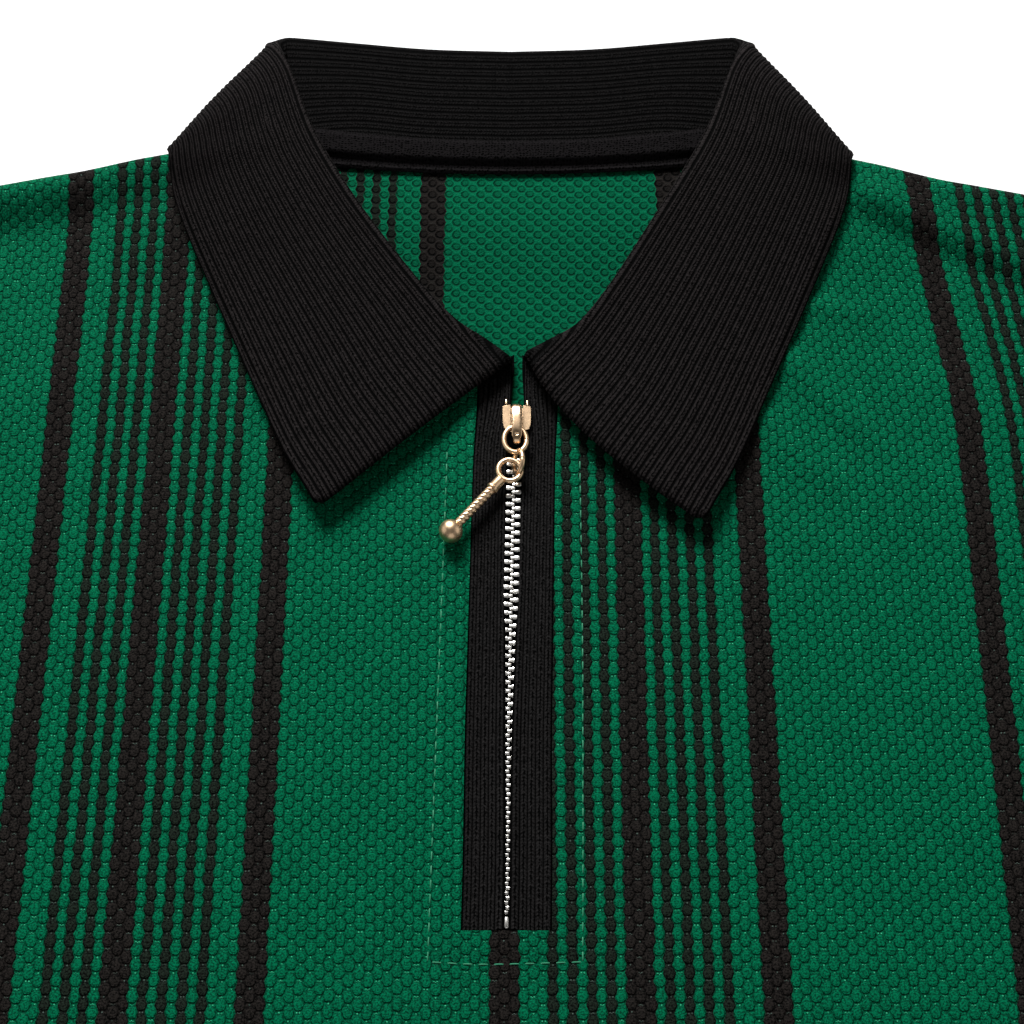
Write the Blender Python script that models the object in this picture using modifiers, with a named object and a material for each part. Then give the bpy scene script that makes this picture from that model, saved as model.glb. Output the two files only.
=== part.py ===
"""Knit top with a rib collar and a short zip, lying flat on its back.

Tables are in millimetres: x from the middle, y up from the level of the collar's
points, z up from the surface that the top lies on.
"""
import math

import bmesh
import bpy
import numpy as np
from mathutils import Matrix, Vector

MM = 0.001
MIDDLE_Y = 178.6  # the level of the collar's points lies this far above the middle

# the pattern's driving points, right half
NECK_POINT = (86.5, 141.5)
SHOULDER_TIP = (245.0, 106.8)
ARMPIT = (282.0, -112.0)
HEM_CORNER = (272.0, -548.0)
ARMHOLE = ((282, -112), (262, -84), (247, -44), (239, 0), (239, 52), (245, 106.8))
SLEEVE_TOP = ((245, 106.8), (310, 85), (375, 48), (432, 0), (490, -85), (550, -182), (669.5, -374))
SLEEVE_UNDER = ((282, -112), (330, -160), (400, -236), (480, -322), (590.7, -436))

# cloth
CLOTH = 2.0  # wall of the knit
RIB = 2.4  # wall of the collar
SEAM = 0.3  # gap between neighbours
BACK_MID = 1.0  # middle of the back wall above the surface
FRONT_MID = 3.3  # middle of the front wall above the surface
SIDE_ROLL = 3.5  # radius at which side seams and sleeves turn over
SHOULDER_ROLL = 4.6
NECK_ROLL = 3.3
BEAD_FALL = 24.0  # how far in from the edge a rolled seam settles
COLLAR_LIFT = 2.7  # the back panel rides this much higher over the collar
NECK_PUFF = 1.2  # the front stands this much higher round the neck
SIDE_DROP = 1.8  # the right shoulder lies this much lower than the middle, the left higher
FOLD_ROLL = 2.2  # radius of the collar's fold
LEAF_CLEARANCE = 1.7  # the leaf passes this much further over a shoulder seam

# places of the panels' columns and rows
ROLLED_INSETS = (0, 0, 1.0, 3.5)  # columns in from a rolled side seam
PLAIN_INSETS = (0, 4.0, 10.0, 18.0)  # the same columns beside the armhole
PANEL_COLUMNS = (200, 165, 130, 106, 86.6, 74, 46, 22, 0)
SIDE_ROWS = 8  # from hem to armpit
ARMHOLE_STEPS = (0.045, 0.13, 0.24, 0.36, 0.48, 0.59, 0.69, 0.78, 0.85)
SHOULDER_INSETS = (0, 0, 0.75, 2.8, 5.8, 10.0, 17.0, 28.0)  # rows down from the shoulder
SEAM_LIP = 1.2  # the wall stands upright this far at a rolled seam
ARMPIT_LIPS = (1.0, 2.0)  # the same heights where the side seam meets the armhole
SLEEVE_STATIONS = (0, 0.03, 0.1, 0.2, 0.32, 0.45, 0.6, 0.8, 1)
SLEEVE_INSETS = (0, 1.0, 3.5, 9.0)  # ring points in from each edge of a sleeve
ARMPIT_EASE = (2.2, 0.4)  # the sleeve stands off this far at the armpit

# tape over the back neck seam, on the inside
NECK_TAPE_HALF = 78.0
NECK_TAPE_ROWS = (146.4, 141.0, 136.0, 130.8)
NECK_TAPE_Z = 6.05
NECK_TAPE_THICK = 1.0
NECK_TAPE_BEND = 1.6  # its ends lie this much lower

# zip
ZIP_BOTTOM = -139.6
ZIP_FOOT_X = -1.0
ZIP_LEAN = 3.3  # the zip's top leans this far to the right of its foot
ZIP_Z = 2.3  # underside of the tape, which climbs towards the neck
ZIP_CLIMB = 1.5
SLOT_HALF = 13.5
TAPE_INNER = 2.8
TAPE_OUTER = 13.2
TAPE_THICK = 1.2
TAPE_TOP = 53.4  # at its inner edge
TAPE_SLANT = 10.0  # the outer edge ends this much lower
TEETH_HALF = 2.5
TEETH_THICK = 1.8
TEETH_TOP = 33.0
TEETH_BOTTOM = -135.2
STOP_Y = (-138.9, -135.6)
STOP_Z = (2.4, 4.6)
STOP_HALF = 2.4

# slider: plates and wedge in plan from its middle, bridge in y and z
SLIDER_Y = 32.0
UPPER_PLATE_Z = (5.95, 7.1)
LOWER_PLATE_Z = (2.35, 3.5)
WEDGE_Z = (3.0, 6.5)
PLATE = (
    (-4.1, -5.4), (4.1, -5.4), (4.7, -1.4), (4.7, 5.4), (3.2, 5.4),
    (2.2, 4.4), (-2.2, 4.4), (-3.2, 5.4), (-4.7, 5.4), (-4.7, -1.4),
)
WEDGE = ((-0.6, 1.6), (0.6, 1.6), (1.7, 3.2), (1.2, 4.2), (-1.2, 4.2), (-1.7, 3.2))
BRIDGE_HALF = 1.35
BRIDGE = (
    (34.6, 6.6), (34.6, 9.4), (33.2, 10.9), (30.5, 11.5), (25.5, 11.5),
    (22.6, 10.9), (21.2, 9.6), (21.2, 8.2), (22.6, 7.6), (23.9, 8.0),
    (24.4, 9.2), (25.2, 10.5), (29.0, 10.5), (30.0, 9.6), (30.4, 6.6),
)

# link and pull
WIRE = 0.65  # radius of their wire
LINK_Z = 9.2
LINK_HINGE = (2.2, 26.7)
LOOP_HALVES = (3.65, 4.4)
LINK_RING = (1.3, 15.2)
LINK_RING_HALVES = (3.0, 3.3)
LINK_RING_TILT = -46.0
RING_CENTRE = (0.3, 11.5)
RING_RADIUS = 3.9
NECK = (4.2, 6.4, 10.2)  # distances along the pull at which its neck starts, bends and ends
NECK_RADIUS = 1.5
ROD_START = 9.2
ROD_RADIUS = 1.25
BALL = (-19.1, -10.9)
BALL_RADIUS = 3.8
PULL_RISE = 0.5  # the ball's middle lies this much higher than the ring

# collar stations of the right half, from the front edge round the side to the middle of the
# back: turn is 90 where the leaf lies on the front and -90 where it lies beneath the back
COLLAR_COLUMNS = ("turn", "seam_x", "seam_y", "fold_x", "fold_y", "fold_z", "edge_x", "edge_y", "rise")
COLLAR = (
    (90, 13.4, 44.5, 3.2, 54.2, 7.6, 60.8, -2.8, 1.8),
    (90, 24, 47.5, 10, 59.2, 7.8, 64.3, -0.5, 1.6),
    (90, 38, 54.5, 19.6, 66.6, 8.2, 75.2, 18, 1.0),
    (90, 54, 68, 31, 80.4, 9.0, 87, 43.5, 0.5),
    (90, 69, 88, 46.5, 103.9, 10.2, 101.5, 76.4, 0.3),
    (90, 79, 109, 58.4, 123.6, 11.0, 113.6, 104, 0.6),
    (90, 84.0, 124.5, 70.5, 146.3, 11.6, 118.6, 119, 1.4),
    (90, 84.8, 134, 80, 171, 11.8, 120.3, 130.5, 1.3),
    (60, 85.0, 139.7, 84.2, 181, 10.4, 120.8, 133.6, 1.0),
    (30, 85.0, 141.1, 86.2, 184.6, 9.0, 120.8, 136.0, 0.8),
    (0, 84.9, 141.7, 86.8, 186.6, 7.4, 120.8, 136.8, 0.5),
    (-30, 84.9, 141.6, 86.2, 188.4, 5.8, 120.8, 136.0, 0),
    (-60, 84.4, 141.4, 84, 190, 4.3, 120.7, 133.6, 0),
    (-90, 81, 141, 79, 190.8, 3.4, 120.0, 130.5, 0),
    (-90, 57, 144.6, 57, 188.4, 3.4, 80, 123.5, 0),
    (-90, 30, 145, 30, 185.6, 3.4, 40, 120.5, 0),
    (-90, 0, 145, 0, 184.5, 3.4, 0, 119.5, 0),
)

MATERIALS = {  # colour, roughness, metallic
    "green knit": ((0.0, 0.085, 0.038), 0.85, 0.0),
    "black rib": ((0.010, 0.009, 0.009), 0.9, 0.0),
    "zip tape": ((0.012, 0.012, 0.012), 0.9, 0.0),
    "bright metal": ((0.78, 0.77, 0.74), 0.25, 1.0),
    "gold metal": ((0.86, 0.62, 0.38), 0.22, 1.0),
}


def smooth(value):
    t = np.clip(value, 0.0, 1.0)
    return t * t * (3 - 2 * t)


def spline(points, steps):
    """Points on a smooth curve through the given ones, with steps in each stretch."""
    p = np.array(points, float)
    padded = np.vstack([2 * p[0] - p[1], p, 2 * p[-1] - p[-2]])
    found = []
    for i in range(len(p) - 1):
        a, b, c, d = padded[i : i + 4]
        for k in range(steps):
            t = k / steps
            square = (2 * a - 5 * b + 4 * c - d) * t**2
            cube = (3 * b - a - 3 * c + d) * t**3
            found.append(0.5 * (2 * b + (c - a) * t + square + cube))
    found.append(p[-1])
    return np.array(found)


def along(curve, fractions):
    """Points at the given fractions of a curve's length."""
    run = np.concatenate([[0], np.cumsum(np.linalg.norm(np.diff(curve, axis=0), axis=1))])
    at = np.array(fractions) * run[-1]
    return np.stack([np.interp(at, run, curve[:, k]) for k in range(2)], axis=-1)


# edges at which the cloth turns over, right half
TOP_EDGE = np.vstack([[NECK_POINT], spline(SLEEVE_TOP, 4)])
UNDER_EDGE = np.vstack([[HEM_CORNER], spline(SLEEVE_UNDER, 4)])
OUTLINE = np.vstack([[(0, HEM_CORNER[1])], UNDER_EDGE, TOP_EDGE[::-1], [(NECK_POINT[0], 200), (0, 200)]])


def edge_distance(x, y):
    """Distance in from the nearest rolled edge, negative outside the pattern."""
    p = np.stack([np.abs(x), y], -1).astype(float)
    best = np.full(p.shape[:-1], 1e9)
    for line in (TOP_EDGE, UNDER_EDGE):
        for a, b in zip(line[:-1], line[1:]):
            way = b - a
            t = np.clip(((p - a) @ way) / (way @ way), 0, 1)
            best = np.minimum(best, np.linalg.norm(p - (a + t[..., None] * way), axis=-1))
    inside = np.zeros(best.shape, bool)
    for (ax, ay), (bx, by) in zip(OUTLINE, np.roll(OUTLINE, -1, axis=0)):
        crosses = (ay > p[..., 1]) != (by > p[..., 1])
        at = ax + (p[..., 1] - ay) * (bx - ax) / (by - ay if by != ay else 1)
        inside ^= crosses & (p[..., 0] < at)
    return np.where(inside, best, -best)


def roll_radius(x, y):
    """Radius of the turned edge: fullest at the middle of the shoulder."""
    side = np.abs(x)
    shoulder = smooth((y - 20) / 60) * smooth((330 - side) / 90)
    near_neck = smooth((165 - side) / 40)
    full = SHOULDER_ROLL + (NECK_ROLL - SHOULDER_ROLL) * near_neck
    return SIDE_ROLL + (full - SIDE_ROLL) * shoulder


def collar_lift(x, y):
    """How far the back panel rides up over the collar's back leaf."""
    return COLLAR_LIFT * smooth((y - 78) / 36) * smooth((156 - np.abs(x)) / 28)


def neck_puff(x, y):
    """How far the front stands up round the neck opening."""
    reach = np.sqrt((x / 125) ** 2 + ((y - 110) / 130) ** 2)
    return NECK_PUFF * (1 - smooth((reach - 0.55) / 0.6))


def back_height(x, y):
    """Height of the middle of the back wall."""
    radius = roll_radius(x, y)
    inward = np.clip(edge_distance(x, y), 0, radius)
    return BACK_MID + collar_lift(x, y) + radius - np.sqrt(radius**2 - (radius - inward) ** 2)


def front_height(x, y, above=0.0):
    """Height of the middle of the front wall, or of a surface at a distance above it."""
    radius = roll_radius(x, y)
    distance = edge_distance(x, y)
    lift = collar_lift(x, y)
    centre = BACK_MID + lift + radius
    reach = radius + above
    inward = np.clip(distance, -above, radius)
    rolled = centre + np.sqrt(np.maximum(reach**2 - (radius - inward) ** 2, 0))
    settled = FRONT_MID + lift + neck_puff(x, y) + above
    bead = (1 - smooth((distance - radius) / BEAD_FALL)) ** 1.5
    return np.where(distance <= radius, rolled, settled + (centre + reach - settled) * bead)


def zip_x(y):
    """Middle line of the zip, which leans a little."""
    return ZIP_FOOT_X + ZIP_LEAN * np.clip((y + 138) / 168, 0, 1.15)


def zip_height(y):
    """Underside of the zip's tape."""
    return ZIP_Z + ZIP_CLIMB * smooth((y + 70) / 80)


def shoulder_y(x):
    """Height of the shoulder seam's line above the drawing's zero."""
    slope = (NECK_POINT[1] - SHOULDER_TIP[1]) / (SHOULDER_TIP[0] - NECK_POINT[0])
    return SHOULDER_TIP[1] + slope * (SHOULDER_TIP[0] - np.maximum(np.abs(x), 10))


def side_drop(x, y):
    """How far a point lies lower than drawn; nothing at the hem and behind the neck."""
    behind = (1 - smooth((abs(x) - 85) / 30)) * smooth((y - 60) / 60)
    return float(SIDE_DROP * math.tanh(x / 50) * smooth((y + 120) / 100) * (1 - behind))


def world(point):
    """Metres from the tables' millimetres."""
    x, y, z = point
    return Vector((x * MM, (y - side_drop(x, y) + MIDDLE_Y) * MM, z * MM))


def start():
    for ob in list(bpy.data.objects):
        bpy.data.objects.remove(ob, do_unlink=True)
    made = []
    for name in ("knit_top", "cutters"):
        collection = bpy.data.collections.new(name)
        bpy.context.scene.collection.children.link(collection)
        made.append(collection)
    return made


def material(name):
    found = bpy.data.materials.get(name)
    if found is None:
        colour, roughness, metallic = MATERIALS[name]
        found = bpy.data.materials.new(name)
        found.use_nodes = True
        shader = found.node_tree.nodes["Principled BSDF"]
        shader.inputs["Base Color"].default_value = (*colour, 1)
        shader.inputs["Roughness"].default_value = roughness
        shader.inputs["Metallic"].default_value = metallic
    return found


def add_object(name, mesh, look, collection):
    ob = bpy.data.objects.new(name, mesh)
    if look:
        mesh.materials.append(material(look))
    collection.objects.link(ob)
    return ob


def sheet_mesh(name, grid, closed=False):
    """A surface of quads through a grid of points, closed round its rows if asked."""
    rows, columns = grid.shape[:2]
    mesh = bpy.data.meshes.new(name)
    bm = bmesh.new()
    verts = [[bm.verts.new(world(p)) for p in row] for row in grid]
    last = columns if closed else columns - 1
    for i in range(rows - 1):
        for j in range(last):
            k = (j + 1) % columns
            bm.faces.new((verts[i][j], verts[i][k], verts[i + 1][k], verts[i + 1][j]))
    bmesh.ops.recalc_face_normals(bm, faces=bm.faces)
    bm.to_mesh(mesh)
    bm.free()
    mesh.shade_smooth()
    return mesh


def wall(name, grid, thickness, look, collection, closed=False):
    """A cloth wall whose middle surface passes through the grid."""
    ob = add_object(name, sheet_mesh(name, grid, closed), look, collection)
    solidify = ob.modifiers.new("wall", "SOLIDIFY")
    solidify.thickness = thickness * MM
    solidify.offset = 0
    return ob


def block(name, outline, reach, collection, look=None, sideways=False):
    """An outline pulled up between two heights, or sideways between two places."""
    start, end = reach
    mesh = bpy.data.meshes.new(name)
    bm = bmesh.new()
    points = [(start, *p) if sideways else (*p, start) for p in outline]
    face = bm.faces.new([bm.verts.new(world(p)) for p in points])
    pulled = bmesh.ops.extrude_face_region(bm, geom=[face])["geom"]
    moved = [item for item in pulled if isinstance(item, bmesh.types.BMVert)]
    way = (1, 0, 0) if sideways else (0, 0, 1)
    bmesh.ops.translate(bm, verts=moved, vec=Vector(way) * (end - start) * MM)
    bmesh.ops.recalc_face_normals(bm, faces=bm.faces)
    bm.to_mesh(mesh)
    bm.free()
    return add_object(name, mesh, look, collection)


def combine(ob, cutter, operation):
    cutter.hide_render = True
    cutter.display_type = "WIRE"
    boolean = ob.modifiers.new(cutter.name, "BOOLEAN")
    boolean.operation = operation
    boolean.object = cutter


# panels
def armhole_fractions():
    """Places of the panel rows along the armhole, from armpit to shoulder tip."""
    length = float(np.sum(np.linalg.norm(np.diff(spline(ARMHOLE, 6), axis=0), axis=1)))
    return [0.0, *ARMHOLE_STEPS] + [1 - inset / length for inset in SHOULDER_INSETS[::-1]]


def panel_rows():
    """Each row is its side point, how far it is rolled there and how near the top it lies."""
    hem, armpit = np.array(HEM_CORNER), np.array(ARMPIT)
    rows = [(*(hem + (armpit - hem) * k / SIDE_ROWS), 1.0, None) for k in range(SIDE_ROWS)]
    side = along(spline(ARMHOLE, 6), armhole_fractions())
    for k, (x, y) in enumerate(side):
        rise = (y - ARMPIT[1]) / (SHOULDER_TIP[1] - ARMPIT[1])
        rows.append((x, y, 1.0, rise) if k == 0 else (x - SEAM / 2, y, 0.0, rise))
    return rows


def panel_grid(front):
    """Middle surface of the front or the back panel, before its neck is cut."""
    height = front_height if front else back_height
    sign = 1 if front else -1
    rows = panel_rows()
    grid = []
    for number, (side_x, side_y, rolled, rise) in enumerate(rows):
        insets = [a * rolled + b * (1 - rolled) for a, b in zip(ROLLED_INSETS, PLAIN_INSETS)]
        edge = [side_x - inset for inset in insets]
        half = np.array([*edge, *PANEL_COLUMNS])
        x = np.concatenate([half, -half[-2::-1]])
        if rise is None:
            y = np.full(x.shape, side_y)
        else:
            share = np.clip((np.abs(x) - PANEL_COLUMNS[0]) / (side_x - PANEL_COLUMNS[0]), 0, 1)
            top = shoulder_y(np.abs(x) + share * (SHOULDER_TIP[0] - side_x))
            y = ARMPIT[1] + rise * (top - ARMPIT[1])
        z = height(x, y)
        seam_z = BACK_MID + collar_lift(x, y) + roll_radius(x, y)
        lips = (SEAM / 2, SEAM_LIP)
        if rolled and rise is not None:
            lips = ARMPIT_LIPS
        if rolled:
            for k, lip in enumerate(lips):
                for at in (k, len(x) - 1 - k):
                    z[at] = seam_z[at] + sign * lip
        from_top = len(rows) - 1 - number
        if from_top < 2:
            z = seam_z + sign * lips[from_top]
        grid.append(np.stack([x, y, z], -1))
    return np.array(grid)


def collar_table():
    return [dict(zip(COLLAR_COLUMNS, row)) for row in COLLAR]


def lean_at(row):
    """How far a front station leans to the right with the zip."""
    if row["turn"] < 90:
        return 0.0
    return float(zip_x(50) * smooth((62 - row["fold_x"]) / 55))


def seam_point(row, side):
    return (row["seam_x"] * side + lean_at(row), row["seam_y"])


def neck_outline(front):
    """Plan of the neck opening, a little outside the collar's seam."""
    rows = [row for row in collar_table() if row["turn"] == (90 if front else -90)]
    corner_x, corner_y = NECK_POINT[0] + SEAM, NECK_POINT[1]
    sides = []
    for side in (-1, 1):
        line = [seam_point(row, side) for row in rows]
        line = [(x + side * SEAM, y - SEAM / 2) for x, y in line]
        if front:
            line = line[1:] + [(side * corner_x, corner_y - 2)]
        else:
            line = [(side * corner_x, line[0][1]), *line][::-1]
        sides.append(line + [(side * corner_x, corner_y + 60)])
    left, right = sides
    if not front:
        return left[::-1] + right[1:]
    top = COLLAR[0][2] - SEAM / 2
    slot = [
        (float(zip_x(y)) + side * SLOT_HALF, y)
        for side, y in ((-1, top), (-1, ZIP_BOTTOM), (1, ZIP_BOTTOM), (1, top))
    ]
    return left[::-1] + slot + right


def build_panel(name, front, parts, cutters):
    panel = wall(name, panel_grid(front), CLOTH, "green knit", parts)
    neck = block(name + "_neck", neck_outline(front), (-5, 60), cutters)
    combine(panel, neck, "DIFFERENCE")


# sleeves
def ring_fractions(width):
    """Places of the ring points across the sleeve, closer together at its edges."""
    near = [inset / width for inset in SLEEVE_INSETS]
    return np.array([*near, *ARMHOLE_STEPS[1:], *[1 - place for place in near[::-1]]])


def sleeve_grid(side):
    """Rings round one sleeve, from the armhole to the cuff."""
    armhole = spline(ARMHOLE, 6)
    top = along(spline(SLEEVE_TOP, 6), SLEEVE_STATIONS)
    under = along(spline(SLEEVE_UNDER, 6), SLEEVE_STATIONS)
    rings = []
    for t, upper, lower in zip(SLEEVE_STATIONS, top, under):
        places = ring_fractions(float(np.linalg.norm(upper - lower)))
        hole = along(armhole, places)
        j = places[:, None]
        cuff = under[-1] + j * (top[-1] - under[-1])
        corners = (1 - t) * ((1 - j) * hole[0] + j * hole[-1]) + t * cuff
        plan = (1 - j) * lower + j * upper + (1 - t) * hole + t * cuff - corners
        if t == 0:
            plan = plan + np.array([SEAM / 2, 0]) + np.exp(-places * 30)[:, None] * ARMPIT_EASE
        x, y = plan[:, 0], plan[:, 1]
        over = np.stack([x, y, front_height(x, y)], -1)
        for k in (0, -1):
            over[k, 2] = BACK_MID + roll_radius(x[k], y[k]) + collar_lift(x[k], y[k])
        below = np.stack([x, y, back_height(x, y)], -1)[1:-1][::-1]
        rings.append(np.concatenate([over, below]))
    grid = np.array(rings)
    grid[..., 0] *= side
    return grid


# collar
def collar_section(row, side):
    """Middle line of the collar at one station, from its seam over the fold to its edge."""
    turn = math.radians(row["turn"])
    up, out = math.sin(turn), math.cos(turn)
    seam_xy = np.array(seam_point(row, side))
    fold_xy = np.array([row["fold_x"] * side + lean_at(row), row["fold_y"]])
    edge_xy = np.array([row["edge_x"] * side, row["edge_y"]])
    at = np.array([row["seam_x"], min(row["seam_y"], NECK_POINT[1] - NECK_ROLL)])
    high, low = front_height(*at), back_height(*at) + (RIB - CLOTH) / 2
    seam_z = (high + low) / 2 + (high - low) / 2 * up
    way = (fold_xy - seam_xy) / np.linalg.norm(fold_xy - seam_xy)
    normal = np.array([side * out, 0, up])
    forward = np.array([way[0], way[1], 0])
    normal = normal - forward * (normal @ forward)
    normal /= np.linalg.norm(normal)
    centre = np.array([*fold_xy, row["fold_z"]]) - forward * (FOLD_ROLL + RIB / 2)
    seam = np.array([*seam_xy, seam_z])
    roll = [
        centre + FOLD_ROLL * (math.sin(a) * normal + math.cos(a) * forward)
        for a in np.radians([-90, -45, 0, 45, 90])
    ]
    inner = row["edge_x"], min(row["edge_y"], float(shoulder_y(row["edge_x"])) - NECK_ROLL)
    gap = CLOTH / 2 + SEAM + RIB / 2
    over, under = front_height(*inner, above=gap) + row["rise"], RIB / 2
    edge_z = (over + under) / 2 + (over - under) / 2 * up
    edge = np.array([*edge_xy, edge_z])
    stand = [seam + (roll[0] - seam) * t for t in (0, 1 / 3, 2 / 3)]
    leaf = [roll[-1] + (edge - roll[-1]) * t for t in (0.1, 0.24, 0.4, 0.56, 0.72, 0.86, 1)]
    if up > 0.4:
        for p in leaf[:-1]:
            if edge_distance(p[0], p[1]) > -gap:
                p[2] = max(p[2], float(front_height(p[0], p[1], above=gap)) + LEAF_CLEARANCE)
    return np.array(stand + roll + leaf)


def collar_grid():
    table = collar_table()
    left = [collar_section(row, -1) for row in table]
    right = [collar_section(row, 1) for row in table]
    return np.array(left + right[-2::-1])


def build_neck_tape(parts):
    """Plain tape that covers the back neck seam on the inside."""
    rows = []
    for x in np.linspace(-NECK_TAPE_HALF, NECK_TAPE_HALF, 11):
        bend = NECK_TAPE_BEND * (abs(x) / NECK_TAPE_HALF) ** 4
        rows.append([(x, y - bend, NECK_TAPE_Z) for y in NECK_TAPE_ROWS])
    wall("neck_tape", np.array(rows), NECK_TAPE_THICK, "zip tape", parts)


# zip
def strip_grid(inner, outer, low, high, thickness, side, slant=0.0):
    """Stations of a flat strip beside the zip's middle line."""
    rows = []
    for t in np.linspace(0, 1, 12):
        row = []
        for offset, top in ((inner, high), (outer, high - slant)):
            y = low + (top - low) * t
            row.append((zip_x(y) + side * offset, y, zip_height(y) + thickness / 2))
        rows.append(row)
    return np.array(rows)


def build_zip(parts):
    for side, word in ((-1, "left"), (1, "right")):
        foot = ZIP_BOTTOM + SEAM
        tape = strip_grid(TAPE_INNER, TAPE_OUTER, foot, TAPE_TOP, TAPE_THICK, side, TAPE_SLANT)
        wall("zip_tape_" + word, tape, TAPE_THICK, "zip tape", parts)
        teeth = strip_grid(SEAM / 2, TEETH_HALF, TEETH_BOTTOM, TEETH_TOP, TEETH_THICK, side)
        wall("zip_teeth_" + word, teeth, TEETH_THICK, "bright metal", parts)
    middle = float(zip_x(STOP_Y[0]))
    left, right = middle - STOP_HALF, middle + STOP_HALF
    stop = [(left, STOP_Y[0]), (right, STOP_Y[0]), (right, STOP_Y[1]), (left, STOP_Y[1])]
    block("zip_stop", stop, STOP_Z, parts, "bright metal")


def tube(name, points, radius, look, collection, cyclic=False, sides=3):
    """A round wire along the given points, as a mesh."""
    curve = bpy.data.curves.new(name, "CURVE")
    curve.dimensions = "3D"
    curve.bevel_depth = radius * MM
    curve.bevel_resolution = sides
    curve.use_fill_caps = not cyclic
    line = curve.splines.new("POLY")
    line.points.add(len(points) - 1)
    for knot, place in zip(line.points, points):
        knot.co = (*world(place), 1)
    line.use_cyclic_u = cyclic
    guide = bpy.data.objects.new(name + "_guide", curve)
    collection.objects.link(guide)
    bpy.context.view_layer.update()
    evaluated = guide.evaluated_get(bpy.context.evaluated_depsgraph_get())
    mesh = bpy.data.meshes.new_from_object(evaluated)
    mesh.name = name
    bm = bmesh.new()
    bm.from_mesh(mesh)
    bmesh.ops.remove_doubles(bm, verts=bm.verts, dist=1e-6)
    bmesh.ops.recalc_face_normals(bm, faces=bm.faces)
    bm.to_mesh(mesh)
    bm.free()
    mesh.materials.clear()
    bpy.data.objects.remove(guide, do_unlink=True)
    return add_object(name, mesh, look, collection)


def oval(centre, half_width, half_length, height, tilt=0.0, steps=28):
    """Points round an oval that is tilted about its long axis."""
    found = []
    for k in range(steps):
        a = 2 * math.pi * k / steps
        across = half_width * math.cos(a)
        found.append(
            (
                centre[0] + across * math.cos(tilt),
                centre[1] + half_length * math.sin(a),
                height + across * math.sin(tilt),
            )
        )
    return found


def build_slider(parts, cutters):
    """Slider: two plates joined by a wedge, with a bridge over the upper one."""
    x = float(zip_x(SLIDER_Y))
    plate = [(x + across, SLIDER_Y + up) for across, up in PLATE]
    wedge = [(x + across, SLIDER_Y + up) for across, up in WEDGE]
    slider = block("slider", plate, UPPER_PLATE_Z, parts, "gold metal")
    reach = (x - BRIDGE_HALF, x + BRIDGE_HALF)
    for piece in (
        block("slider_lower", plate, LOWER_PLATE_Z, cutters),
        block("slider_wedge", wedge, WEDGE_Z, cutters),
        block("slider_bridge", BRIDGE, reach, cutters, sideways=True),
    ):
        combine(slider, piece, "UNION")


def set_origin(ob, point, parent=None):
    """Puts the origin of a moving piece on its joint, without moving the piece."""
    place = world(point)
    ob.data.transform(Matrix.Translation(-place))
    ob.location = place
    if parent:
        ob.parent = parent
        ob.location = place - parent.location


def build_link(parts, cutters):
    """Link: a flat loop round the bridge, joined to a tilted ring that holds the pull."""
    hinge_x, hinge_y = LINK_HINGE
    across, length = LOOP_HALVES
    outline = oval((hinge_x, hinge_y - length), across, length, LINK_Z)
    link = tube("link", outline, WIRE, "gold metal", parts, True)
    outline = oval(LINK_RING, *LINK_RING_HALVES, LINK_Z, math.radians(LINK_RING_TILT))
    combine(link, tube("link_ring", outline, WIRE, None, cutters, True), "UNION")
    set_origin(link, (hinge_x, hinge_y, LINK_Z))
    return link


def build_pull(link, parts, cutters):
    """Pull: a flat ring, a short neck, a rod and a ball."""
    centre, ball = np.array(RING_CENTRE), np.array(BALL)
    reach = float(np.linalg.norm(ball - centre))
    way = (ball - centre) / reach

    def at(distance):
        return (*(centre + way * distance), LINK_Z + PULL_RISE * distance / reach)

    outline = oval(RING_CENTRE, RING_RADIUS, RING_RADIUS, LINK_Z)
    pull = tube("pull", outline, WIRE, "gold metal", parts, True)
    mesh = bpy.data.meshes.new("pull_ball")
    bm = bmesh.new()
    bmesh.ops.create_uvsphere(bm, u_segments=20, v_segments=12, radius=BALL_RADIUS * MM)
    bmesh.ops.translate(bm, verts=bm.verts, vec=world(at(reach)))
    bm.to_mesh(mesh)
    bm.free()
    for piece in (
        tube("pull_neck", [at(distance) for distance in NECK], NECK_RADIUS, None, cutters),
        tube("pull_rod", [at(ROD_START), at(reach - BALL_RADIUS / 2)], ROD_RADIUS, None, cutters),
        add_object("pull_ball", mesh, None, cutters),
    ):
        combine(pull, piece, "UNION")
    set_origin(pull, (*RING_CENTRE, LINK_Z), link)


def main():
    parts, cutters = start()
    build_panel("back", False, parts, cutters)
    build_panel("front", True, parts, cutters)
    for side, word in ((-1, "left"), (1, "right")):
        wall("sleeve_" + word, sleeve_grid(side), CLOTH, "green knit", parts, closed=True)
    wall("collar", collar_grid(), RIB, "black rib", parts)
    build_neck_tape(parts)
    build_zip(parts)
    build_slider(parts, cutters)
    link = build_link(parts, cutters)
    build_pull(link, parts, cutters)


main()
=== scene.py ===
import math

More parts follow.
